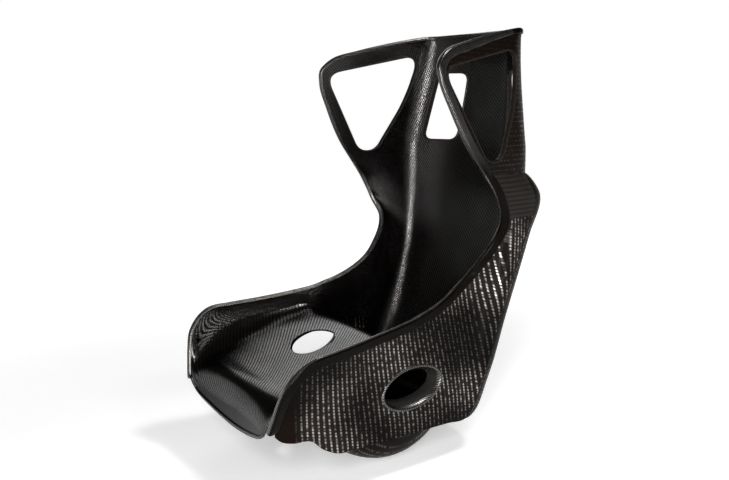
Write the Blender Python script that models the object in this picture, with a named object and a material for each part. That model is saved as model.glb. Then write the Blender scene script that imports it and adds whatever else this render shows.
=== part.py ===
"""Carbon-fibre bucket seat with head wings, as an assembly of bonded mouldings.

The seat is lofted through named stations that run from the lip under the front
of the pan, back through the pan and up to the top of the head rest. Each station
gives the crest of the rolled rim, the knee where the side wall meets the pan or
the back, and the point on the centre line. The outer mouldings, the edge strips,
the window liners and the strap funnels all take their place from the same loft.

Metres, +Z up, the seat faces -Y and is symmetric about X = 0.
"""
import math

import bmesh
import bpy
import numpy as np
from mathutils import Vector
from mathutils.bvhtree import BVHTree

# ------------------------------------------------------------------ sizes
SHELL_T = 0.0035        # inner moulding
SKIN_T = 0.0030         # outer mouldings
GAP = 0.0004            # bond line between two pieces
LINER_T = 0.0015        # window liners
ROLL_W = 0.0130         # width of the rolled rim, inner face to outer face
FLANGE_T = 0.0018       # rim flange that covers the outer moulding's edge
FLANGE_GAP = 0.0009     # glue room between that flange and the outer moulding
FLANGE_D = 0.0130       # how far that flange hangs below the roll
TOP_FLANGE_D = 0.0055   # the same along the top of the head rest

SLOT_Y = -0.060         # crotch strap slot, centre along the pan
SLOT_WIDTH = 0.104
SLOT_LENGTH = 0.094

HOLE_Y = 0.050          # lap strap hole in the side moulding
HOLE_Z = 0.141
HOLE_LENGTH = 0.148
HOLE_HEIGHT = 0.080
HOLE_TILT = math.radians(6.0)
FUNNEL_DEPTH = 0.030
FUNNEL_TAPER = 0.74     # inner mouth as a part of the outer one
FUNNEL_T = 0.0025

STRAP_Y = 0.150         # lap strap opening in the inner moulding
STRAP_Z = 0.172
STRAP_LENGTH = 0.080
STRAP_HEIGHT = 0.040

BACK_CROWN = 0.0735     # how far the back moulding bows out behind its edges
BELLY_DEPTH = 0.084     # bulge of the bottom moulding below its flat border
BELLY_Y = 0.040
BELLY_HALF_L = 0.145
BELLY_SPAN = 0.97       # bulge across, as a part of the moulding's width
BOTTOM_Z = 0.0490       # level of that flat border
BOTTOM_RISE_Y = -0.128  # from here forward the border climbs with the hem
BOTTOM_FRONT_Y = -0.232

BLOCK_LENGTH = 0.050    # mounting blocks bonded inside the hem
BLOCK_WIDTH = 0.020
BLOCK_HEIGHT = 0.014
BLOCK_FRONT_Y = -0.088
BLOCK_REAR_Y = 0.165

STRIP_T = 0.0025        # binding along the lower edge of the front lip
STRIP_H = 0.010

# Plane of the head wings at the crest of their rim: x = WING_X - WING_BACK y - WING_TILT z
WING_X = 0.3738
WING_BACK = 0.1610
WING_TILT = 0.1871

# Stations: crest of the rim (x, y, z), knee (x, y, z), centre (y, z), fillet.
STATIONS = (
    ((0.183, -0.270, 0.113), (0.150, -0.262, 0.090), (-0.247, 0.058), 0.020),   # 0 lip
    ((0.196, -0.265, 0.145), (0.172, -0.252, 0.136), (-0.245, 0.150), 0.018),   # 1 crease
    ((0.204, -0.260, 0.172), (0.178, -0.230, 0.152), (-0.227, 0.161), 0.022),
    ((0.216, -0.249, 0.208), (0.183, -0.195, 0.170), (-0.195, 0.163), 0.030),
    ((0.2285, -0.195, 0.2535), (0.182, -0.140, 0.193), (-0.130, 0.183), 0.035),  # 4 thigh
    ((0.2235, -0.148, 0.2580), (0.178, -0.105, 0.203), (-0.095, 0.195), 0.035),
    ((0.213, -0.090, 0.262), (0.174, -0.068, 0.213), (-0.055, 0.2095), 0.035),
    ((0.203, -0.035, 0.267), (0.170, -0.022, 0.221), (-0.008, 0.2210), 0.032),
    ((0.196, 0.012, 0.272), (0.166, 0.032, 0.226), (0.040, 0.2240), 0.028),      # 8 hump
    ((0.190, 0.050, 0.277), (0.161, 0.076, 0.205), (0.080, 0.198), 0.026),
    ((0.1865, 0.085, 0.286), (0.157, 0.107, 0.150), (0.106, 0.135), 0.028),
    ((0.183, 0.120, 0.296), (0.152, 0.129, 0.104), (0.128, 0.080), 0.032),
    ((0.1795, 0.155, 0.311), (0.148, 0.157, 0.088), (0.158, 0.052), 0.036),      # 12 bucket
    ((0.176, 0.191, 0.334), (0.147, 0.194, 0.108), (0.204, 0.063), 0.040),
    ((0.184, 0.236, 0.379), (0.156, 0.246, 0.180), (0.272, 0.120), 0.040),       # 14 waist
    ((0.204, 0.263, 0.432), (0.168, 0.308, 0.292), (0.338, 0.262), 0.036),
    ((0.232, 0.250, 0.480), (0.177, 0.352, 0.400), (0.374, 0.402), 0.034),
    ((0.238, 0.228, 0.523), (0.185, 0.360, 0.475), (0.390, 0.488), 0.034),       # 17 shoulder
    ((0.237, 0.200, 0.562), (0.193, 0.357, 0.555), (0.407, 0.562), 0.034),
    ((0.232, 0.160, 0.615), (0.195, 0.354, 0.613), (0.419, 0.618), 0.034),
    ((0.226, 0.120, 0.690), (0.182, 0.354, 0.685), (0.427, 0.695), 0.032),       # 20 wing
    ((0.218, 0.096, 0.750), (0.169, 0.357, 0.750), (0.429, 0.755), 0.032),
    ((0.212, 0.097, 0.784), (0.161, 0.361, 0.789), (0.428, 0.795), 0.030),
    ((0.203, 0.124, 0.808), (0.157, 0.364, 0.809), (0.4275, 0.819), 0.028),
    ((0.190, 0.185, 0.8265), (0.154, 0.367, 0.827), (0.427, 0.839), 0.026),
    ((0.173, 0.265, 0.8455), (0.150, 0.370, 0.843), (0.427, 0.852), 0.022),
    ((0.159, 0.338, 0.8595), (0.147, 0.373, 0.8575), (0.427, 0.8625), 0.012),     # 26 top
)
# Free edge of the side moulding, one point for each station from SIDE_FIRST on:
# along the hem to the rear foot, then up the rear corner to below the shoulder.
SIDE_FIRST = 1
HEM = (
    (0.1790, -0.252, 0.102),
    (0.184, -0.241, 0.091),
    (0.190, -0.220, 0.085),
    (0.196, -0.186, 0.083),
    (0.199, -0.158, 0.060),
    (0.202, -0.128, 0.046),
    (0.204, -0.085, 0.0455),
    (0.205, -0.035, 0.0450),
    (0.206, 0.010, 0.0450),
    (0.206, 0.050, 0.0445),
    (0.205, 0.095, 0.0435),
    (0.203, 0.145, 0.0420),
    (0.199, 0.198, 0.0385),
    (0.210, 0.234, 0.120),
    (0.219, 0.272, 0.250),
    (0.228, 0.328, 0.425),
    (0.230, 0.354, 0.512),
)
REAR_FOOT = 13          # station whose hem point is the rear foot
WING_FIRST = SIDE_FIRST + len(HEM)   # from here the outer moulding follows the inner one
PLANE_FROM = 19         # the wings are flat from here up
FLARE_FROM = 13         # from here the back flares out until it meets that plane
PILLAR_HALF = 0.070     # half width of the flat pillar behind the head
PILLAR_SOFT = 0.10      # how rounded its two corners are
PILLAR_FROM = 17        # it grows out of the bowed back from this station to the second one above
PAN_LAST = 8            # station where the pan's laminate meets the back's
# The rim's flange hangs towards the hem, turned from it at these stations.
AIM_SHIFT = {0: (0.0, 0.070, 0.030), 1: (0.0, 0.070, 0.030), 2: (0.0, 0.070, 0.030),
             3: (0.0, 0.035, 0.015), 15: (-0.004, 0.058, 0.110)}

# Window outlines: corners and how much each is rounded.
WING_WINDOW = ((0.106, 0.771), (0.352, 0.822), (0.327, 0.712), (0.260, 0.588), (0.212, 0.588))   # (y, z)
WING_ROUND = (0.040, 0.045, 0.045, 0.023, 0.023)
HARNESS_WINDOW = ((0.066, 0.777), (0.131, 0.777), (0.171, 0.615), (0.087, 0.615))  # (x, z)
HARNESS_ROUND = (0.022, 0.022, 0.020, 0.022)

ROWS_PER_STATION = 2
FLOOR_COLS = 3
FILLET_COLS = 3
WALL_COLS = 2
SKIN_COLS = 8
ROLL_SIDES = 5


# ------------------------------------------------------------------ maths
def unit(v):
    """Vector or rows of vectors scaled to length one."""
    v = np.asarray(v, float)
    return v / np.maximum(np.linalg.norm(v, axis=-1, keepdims=True), 1e-12)


def spline(points, per):
    """Smooth curve through the points, with chord-length knots."""
    p = np.asarray(points, float)
    h = np.maximum(np.linalg.norm(np.diff(p, axis=0), axis=1), 1e-9)
    slope = np.diff(p, axis=0) / h[:, None]
    tangent = np.empty_like(p)
    tangent[1:-1] = (slope[:-1] * h[1:, None] + slope[1:] * h[:-1, None]) / (h[1:] + h[:-1])[:, None]
    tangent[0] = 2 * slope[0] - tangent[1]
    tangent[-1] = 2 * slope[-1] - tangent[-2]
    out = []
    for i in range(len(h)):
        for k in range(per):
            t = k / per
            out.append((2 * t**3 - 3 * t**2 + 1) * p[i] + (t**3 - 2 * t**2 + t) * h[i] * tangent[i]
                       + (3 * t**2 - 2 * t**3) * p[i + 1] + (t**3 - t**2) * h[i] * tangent[i + 1])
    out.append(p[-1])
    return np.array(out)


def bezier(a, b, c, d, n):
    """Points of a cubic Bezier curve, ends included."""
    t = np.linspace(0.0, 1.0, n + 1)[:, None]
    return (1 - t)**3 * a + 3 * t * (1 - t)**2 * b + 3 * t**2 * (1 - t) * c + t**3 * d


def rounded(corners, radii, steps=4):
    """Closed 2D outline with each corner rounded by a quadratic arc."""
    pts = []
    n = len(corners)
    for i in range(n):
        p = np.array(corners[i], float)
        a = unit(np.array(corners[i - 1]) - p)
        b = unit(np.array(corners[(i + 1) % n]) - p)
        s = p + a * radii[i]
        e = p + b * radii[i]
        for k in range(steps + 1):
            t = k / steps
            pts.append((1 - t)**2 * s + 2 * t * (1 - t) * p + t**2 * e)
    return np.array(pts)


def ellipse(a, b, n, tilt=0.0):
    """Points of an ellipse with half axes a and b, turned by tilt."""
    t = np.linspace(0, 2 * math.pi, n, endpoint=False)
    x = a * np.cos(t)
    y = b * np.sin(t)
    return np.stack([x * math.cos(tilt) - y * math.sin(tilt), x * math.sin(tilt) + y * math.cos(tilt)], -1)


# ------------------------------------------------------------------ the loft
class Loft:
    """Rows of the seat's inner surface and the frames along its rim."""

    def __init__(self, per):
        wing = unit(np.array([1.0, WING_BACK, WING_TILT]))
        crest = STATIONS[PLANE_FROM][0]
        self.lead = WING_X - WING_BACK * crest[1] - WING_TILT * crest[2] - crest[0]
        flat = []
        for k, (rim, knee, centre, fillet) in enumerate(STATIONS):
            widths = []
            for point, inside in ((rim, 0.0), (knee, ROLL_W / 2)):
                if k < PLANE_FROM:
                    widths.append(point[0] + self.flare(k))
                else:
                    widths.append(WING_X - inside / wing[0] - WING_BACK * point[1] - WING_TILT * point[2])
            flat.append(np.array([widths[0], *rim[1:], widths[1], *knee[1:], *centre, fillet]))
        self.per = per
        rows = spline(flat, per)
        self.rim = rows[:, 0:3]
        self.knee = rows[:, 3:6]
        self.centre = np.stack([np.zeros(len(rows)), rows[:, 6], rows[:, 7]], -1)
        self.fillet = rows[:, 8]
        flat_from = PLANE_FROM * per
        for points, inside in ((self.rim, 0.0), (self.knee, ROLL_W / 2)):
            part = points[flat_from:]
            part[:, 0] = WING_X - inside / wing[0] - WING_BACK * part[:, 1] - WING_TILT * part[:, 2]
        self.along = unit(np.gradient(self.rim, axis=0))

        aims = []
        for k in range(len(STATIONS)):
            if k < WING_FIRST:
                aims.append(self.hem_points()[max(k - SIDE_FIRST, 0)] + np.array(AIM_SHIFT.get(k, (0, 0, 0))))
            else:
                aims.append(self.knee[k * per])
        aims = spline(aims, per)
        self.out = unit(np.cross(self.along, self.rim - aims))
        for i in range(WING_FIRST * per, len(rows)):
            for _ in range(3):
                inside = self.knee[i] + self.out[i] * ROLL_W / 2
                self.out[i] = unit(np.cross(self.along[i], self.rim[i] - inside))
            turn = min((i / per - WING_FIRST) / (PLANE_FROM - WING_FIRST), 1.0)
            flat_out = unit(wing - self.along[i] * np.dot(wing, self.along[i]))
            self.out[i] = unit(self.out[i] * (1 - turn) + flat_out * turn)
        self.up = unit(np.cross(self.out, self.along))
        self.core = self.rim - self.up * ROLL_W / 2
        self.edge = self.core - self.out * ROLL_W / 2 - self.up * GAP

    def flare(self, k):
        """How far station k moves out so that the back runs into the plane of the wings."""
        share = min(max((k - FLARE_FROM) / (PLANE_FROM - FLARE_FROM), 0.0), 1.0)
        return self.lead * share * share * (3 - 2 * share)

    def hem_points(self):
        """Points of the side moulding's free edge, moved out with their stations."""
        return np.array(HEM) + [(self.flare(SIDE_FIRST + j), 0.0, 0.0) for j in range(len(HEM))]

    def bow(self, s, i):
        """How far the floor has left its centre line at part s of its half width.

        It runs from 0 to 1 at the knee, as a bow below and as a flat pillar behind the head.
        """
        flat = PILLAR_HALF / self.knee[i, 0]

        def slope(t):
            return (t - flat + math.hypot(t - flat, PILLAR_SOFT)) / 2

        panel = (slope(s) - slope(0.0)) / (slope(1.0) - slope(0.0))
        share = min(max((i / self.per - PILLAR_FROM) / 2, 0.0), 1.0)
        share = share * share * (3 - 2 * share)
        return s * s * (1 - share) + panel * share

    def section(self, i):
        """Half of row i, from the centre line to the edge under the roll."""
        knee = self.knee[i]
        centre = self.centre[i]
        edge = self.edge[i]
        floor_len = np.linalg.norm(knee - centre)
        wall_len = np.linalg.norm(edge - knee)
        s1 = 1 - min(self.fillet[i] / floor_len, 0.42)
        s2 = min(self.fillet[i] / wall_len, 0.42)

        def floor(s):
            bow = self.bow(s, i)
            return centre + (knee - centre) * (s, bow, bow)

        start = floor(s1)
        end = knee + (edge - knee) * s2
        t0 = unit(floor(s1 + 0.01) - start)
        t1 = unit(edge - knee)
        reach = 0.6
        a = np.linalg.norm(knee - start) * reach
        b = np.linalg.norm(end - knee) * reach
        pts = [floor(s1 * k / FLOOR_COLS) for k in range(FLOOR_COLS)]
        pts += list(bezier(start, start + t0 * a, end - t1 * b, end, FILLET_COLS))
        drop = min(FLANGE_D / np.linalg.norm(edge - end), 0.8)
        for k in range(1, WALL_COLS + 1):
            pts.append(end + (edge - end) * (1 - drop) * k / WALL_COLS)
        pts.append(edge)
        return np.array(pts)

    def grid(self):
        """Whole inner surface, rows by columns, left edge to right edge."""
        rows = []
        for i in range(len(self.rim)):
            half = self.section(i)
            rows.append(np.concatenate([(half * (-1, 1, 1))[::-1], half[1:]]))
        return np.array(rows)


def normals(grid):
    """Unit normals of a grid, pointing away from the occupant."""
    return unit(np.cross(np.gradient(grid, axis=0), np.gradient(grid, axis=1)))


def shell_normals(loft, grid):
    """Normals of the inner surface, square to the rolled rim along its two edges.

    In the head, the walls take the normal of the wing and the fillet turns evenly
    from the floor's normal to it.
    """
    n = normals(grid)
    first = WING_FIRST * loft.per
    last = grid.shape[1] - 1
    for side in (-1, 1):
        mirror = np.array((side, 1, 1))

        def col(j):
            return last // 2 + side * j

        up = loft.up[:first] * mirror
        for j in (last // 2 - 1, last // 2):
            rise = np.sum(n[:first, col(j)] * up, axis=1, keepdims=True)
            n[:first, col(j)] = unit(n[:first, col(j)] - up * np.maximum(rise, 0.0))
        wall = loft.out[first:] * mirror
        floor = n[first:, col(FLOOR_COLS - 1)]
        for j in range(FLOOR_COLS, last // 2 + 1):
            turn = min((j - FLOOR_COLS + 0.5) / FILLET_COLS, 1.0)
            n[first:, col(j)] = unit(floor * (1 - turn) + wall * turn)
    return n


# ------------------------------------------------------------------ building
def clear_scene():
    """Remove every object of the start-up scene."""
    for obj in list(bpy.data.objects):
        bpy.data.objects.remove(obj, do_unlink=True)


def material(name, colour, rough, metallic=0.0, coat=0.0):
    """One Principled material."""
    mat = bpy.data.materials.new(name)
    mat.use_nodes = True
    shader = mat.node_tree.nodes["Principled BSDF"]
    shader.inputs["Base Color"].default_value = (*colour, 1.0)
    shader.inputs["Roughness"].default_value = rough
    shader.inputs["Metallic"].default_value = metallic
    shader.inputs["Coat Weight"].default_value = coat
    return mat


def add_object(name, bm, mat, parent, smooth=35.0):
    """Turn a bmesh into a named, shaded object under the seat's empty."""
    mesh = bpy.data.meshes.new(name)
    bmesh.ops.recalc_face_normals(bm, faces=bm.faces)
    bm.to_mesh(mesh)
    bm.free()
    obj = bpy.data.objects.new(name, mesh)
    bpy.context.collection.objects.link(obj)
    mesh.materials.append(mat)
    mesh.shade_smooth()
    mesh.set_sharp_from_angle(angle=math.radians(smooth))
    obj.parent = parent
    return obj


def panel(bm, a, b, c, d):
    """Quad a b c d as two triangles that share the edge a c."""
    bm.faces.new((a, b, c))
    bm.faces.new((a, c, d))


def thick_grid(grid, n, thick, mirror_at=None):
    """Closed sheet: the grid and its copy moved by thick along n, joined round the edge.

    Left of column mirror_at the panels' diagonals run the other way, so that the two
    halves of a symmetric sheet stay mirror images.
    """
    bm = bmesh.new()
    rows, cols = grid.shape[:2]
    front = [[bm.verts.new(p) for p in row] for row in grid]
    back = [[bm.verts.new(p) for p in row] for row in grid + n * thick]
    for i in range(rows - 1):
        for j in range(cols - 1):
            for side in (front, back):
                if mirror_at is not None and j >= mirror_at:
                    panel(bm, side[i][j + 1], side[i][j], side[i + 1][j], side[i + 1][j + 1])
                else:
                    panel(bm, side[i][j], side[i][j + 1], side[i + 1][j + 1], side[i + 1][j])
    for i in range(rows - 1):
        for j in (0, cols - 1):
            panel(bm, front[i][j], front[i + 1][j], back[i + 1][j], back[i][j])
    for j in range(cols - 1):
        for i in (0, rows - 1):
            panel(bm, front[i][j], front[i][j + 1], back[i][j + 1], back[i][j])
    bmesh.ops.remove_doubles(bm, verts=bm.verts, dist=1e-7)
    return bm


def sweep(rings):
    """Closed bar from a list of rings of equal length."""
    bm = bmesh.new()
    loops = [[bm.verts.new(p) for p in ring] for ring in rings]
    n = len(loops[0])
    for a, b in zip(loops[:-1], loops[1:]):
        for k in range(n):
            panel(bm, a[(k + 1) % n], a[k], b[k], b[(k + 1) % n])
    bm.faces.new(loops[0])
    bm.faces.new(loops[-1][::-1])
    return bm


def tube(outer, inner):
    """Open tube from matching lists of outer and inner rings."""
    bm = bmesh.new()
    path = list(outer) + list(inner)[::-1]
    loops = [[bm.verts.new(p) for p in ring] for ring in path]
    n = len(loops[0])
    for a, b in zip(loops, loops[1:] + loops[:1]):
        for k in range(n):
            panel(bm, a[k], a[(k + 1) % n], b[(k + 1) % n], b[k])
    return bm


def prism(outline, axis, low, high):
    """Closed prism of a 2D outline along X, Y or Z."""
    def place(p, d):
        return {"X": (d, p[0], p[1]), "Y": (p[0], d, p[1]), "Z": (p[0], p[1], d)}[axis]
    return sweep([[place(p, low) for p in outline], [place(p, high) for p in outline]])


def cut(target, bm, name, parent):
    """Boolean difference with a hidden cutter."""
    bmesh.ops.recalc_face_normals(bm, faces=bm.faces)
    mesh = bpy.data.meshes.new(name)
    bm.to_mesh(mesh)
    bm.free()
    obj = bpy.data.objects.new(name, mesh)
    bpy.context.collection.objects.link(obj)
    obj.hide_render = True
    obj.display_type = "WIRE"
    obj.parent = parent
    mod = target.modifiers.new(name, "BOOLEAN")
    mod.operation = "DIFFERENCE"
    mod.solver = "EXACT"
    mod.object = obj
    return obj


def mirrored(points, side):
    """Points of the near side, or their mirror image for side -1."""
    return np.asarray(points) * (side, 1, 1)


# ------------------------------------------------------------------ pieces
def cap_ring(core, out, up, depth):
    """Section of the rim: half-round roll with a flange hanging on its outer side."""
    r = ROLL_W / 2
    ring = []
    for k in range(ROLL_SIDES + 1):
        a = math.pi * (1 - k / ROLL_SIDES)
        ring.append((r * math.cos(a), r * math.sin(a)))
    ring += [(r, -depth), (r - FLANGE_T, -depth), (r - FLANGE_T, 0.0),
             (r - FLANGE_T - FLANGE_GAP - SKIN_T, 0.0), (SHELL_T - r, 0.0)]
    return [core + out * o + up * w for o, w in ring]


def rim_strip(loft, first, last, side, trim, depth):
    """Edge strip between two stations, shortened by trim at both ends.

    The flange hangs by depth[0] at the first station and depth[1] at the last one,
    changing over the last two stations.
    """
    rows = range(first * loft.per, last * loft.per + 1)
    core = loft.core[rows].copy()
    core[0] += loft.along[rows[0]] * trim[0]
    core[-1] -= loft.along[rows[-1]] * trim[1]
    rings = []
    for k, i in enumerate(rows):
        left = min((rows[-1] - i) / (2 * loft.per), 1.0)
        hang = depth[0] * left + depth[1] * (1 - left)
        rings.append(mirrored(cap_ring(core[k], loft.out[i], loft.up[i], hang), side))
    return sweep(rings)


def side_surface(loft, head_row):
    """Outer face of the side moulding: rows along the seat, columns rim to hem.

    The last row is the lower edge of the head moulding, and the station below it
    eases into that row, which makes the ledge at the shoulder.
    """
    per = loft.per
    first = SIDE_FIRST * per
    inset = ROLL_W / 2 - FLANGE_T - FLANGE_GAP
    hem = spline(list(loft.hem_points()) + [head_row[-1]], per)
    rows = []
    for k, point in enumerate(hem):
        i = first + k
        top = loft.core[i] + loft.out[i] * inset - loft.up[i] * FLANGE_GAP
        under = top - loft.up[i] * (FLANGE_D - FLANGE_GAP)
        start = under - loft.up[i] * 0.003
        span = np.linalg.norm(point - start)
        rear = min(max((i / per - REAR_FOOT + 0.5) / 1.5, 0.0), 1.0)
        way = unit(point - start)
        leave = 0.30 * max(float(np.dot(way, -loft.up[i])), 0.0) ** 2
        arrive = unit((1 - rear) * np.array([0.10, 0.0, 1.0]) + rear * (np.array([0.10, 0.0, 0.0]) - way))
        curve = bezier(start, start - loft.up[i] * leave * span, point + arrive * 0.38 * span, point,
                       SKIN_COLS - 1)
        row = np.concatenate([[top, under], curve])
        ease = min(max(i / per - (WING_FIRST - 1), 0.0), 1.0)
        ease = ease * ease * (3 - 2 * ease)
        row[1:] = row[1:] * (1 - ease) + head_row[1:] * ease
        rows.append(row)
    rows = np.array(rows)
    rows[-1] -= unit(rows[-1] - rows[-2]) * GAP
    return rows, hem


def resample(points, n):
    """n points at even steps along a polyline."""
    p = np.asarray(points, float)
    d = np.concatenate([[0.0], np.cumsum(np.linalg.norm(np.diff(p, axis=0), axis=1))])
    s = np.linspace(0.0, d[-1], n)
    return np.stack([np.interp(s, d, p[:, c]) for c in range(3)], -1)


def head_surface(loft, grid, n):
    """Outer face of the head moulding, a constant distance outside the inner surface."""
    first = WING_FIRST * loft.per
    return grid[first:] + n[first:] * (ROLL_W - FLANGE_T - FLANGE_GAP)


def crown(s):
    """Plan shape of the back moulding, 1 at the centre and 0 at its edges."""
    return (1 - np.abs(s) ** 4) ** 0.6


BACK_STEPS = (0.0, 0.30, 0.55, 0.75, 0.88, 0.96, 1.0)


def back_surface(loft, hem, head_centre):
    """Outer face of the back moulding, between the rear corners of the side mouldings."""
    per = loft.per
    start = (REAR_FOOT - SIDE_FIRST) * per
    rows = []
    for k in range(start, len(hem)):
        x, y, z = hem[k]
        half = np.array([(x * s, y + GAP + BACK_CROWN * crown(s), z) for s in BACK_STEPS])
        ease = min(max((k + SIDE_FIRST * per) / per - (WING_FIRST - 1), 0.0), 1.0)
        ease = ease * ease * (3 - 2 * ease)
        half = half * (1 - ease) + head_centre * ease
        rows.append(np.concatenate([(half * (-1, 1, 1))[::-1], half[1:]]))
    rows = np.array(rows)
    rows[-1] -= unit(rows[-1] - rows[-2]) * GAP
    return rows


def hem_x(hem, per, y):
    """Half width of the hem at y."""
    stop = (REAR_FOOT - SIDE_FIRST) * per
    return float(np.interp(y, hem[:stop + 1, 1], hem[:stop + 1, 0]))


def hem_rise(hem, per, y):
    """How much higher the hem is at y than behind BOTTOM_RISE_Y."""
    stop = (REAR_FOOT - SIDE_FIRST) * per
    low = np.interp(BOTTOM_RISE_Y, hem[:stop + 1, 1], hem[:stop + 1, 2])
    return max(float(np.interp(y, hem[:stop + 1, 1], hem[:stop + 1, 2]) - low), 0.0) if y < BOTTOM_RISE_Y else 0.0


def bottom_level(x_part, y, hem, per):
    """Height of the bottom moulding's outer face."""
    q = 1 - (x_part / BELLY_SPAN) ** 6 - ((y - BELLY_Y) / BELLY_HALF_L) ** 2
    return BOTTOM_Z - BELLY_DEPTH * max(q, 0.0) ** 0.75 + hem_rise(hem, per, y)


BOTTOM_STEPS = (0.0, 0.22, 0.42, 0.58, 0.71, 0.81, 0.89, 1.0)


def bottom_surface(hem, per, inset):
    """Bottom moulding: flat under the side boxes, bulging below the bucket."""
    x, y_edge, _ = hem[(REAR_FOOT - SIDE_FIRST) * per]
    rows = []
    for v in list(np.linspace(-1.0, 0.0, 7)) + list(np.linspace(0.0, 1.0, 15))[1:]:
        half = []
        for s in BOTTOM_STEPS:
            rear = y_edge + (BACK_CROWN * crown(s) - SKIN_T - GAP) * min(1.0, 8 * (1 - s)) - GAP
            y = BOTTOM_RISE_Y + (v * (rear - BOTTOM_RISE_Y) if v > 0 else v * (BOTTOM_RISE_Y - BOTTOM_FRONT_Y))
            half.append(((hem_x(hem, per, y) - inset) * s, y, bottom_level(s, y, hem, per)))
        half = np.array(half)
        rows.append(np.concatenate([(half * (-1, 1, 1))[::-1], half[1:]]))
    return np.array(rows)


def surface_x(tree, y, z, fallback):
    """X of the side moulding's outer face at (y, z)."""
    hit = tree.ray_cast(Vector((0.5, y, z)), Vector((-1, 0, 0)))
    return hit[0].x if hit[0] is not None else fallback


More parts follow.
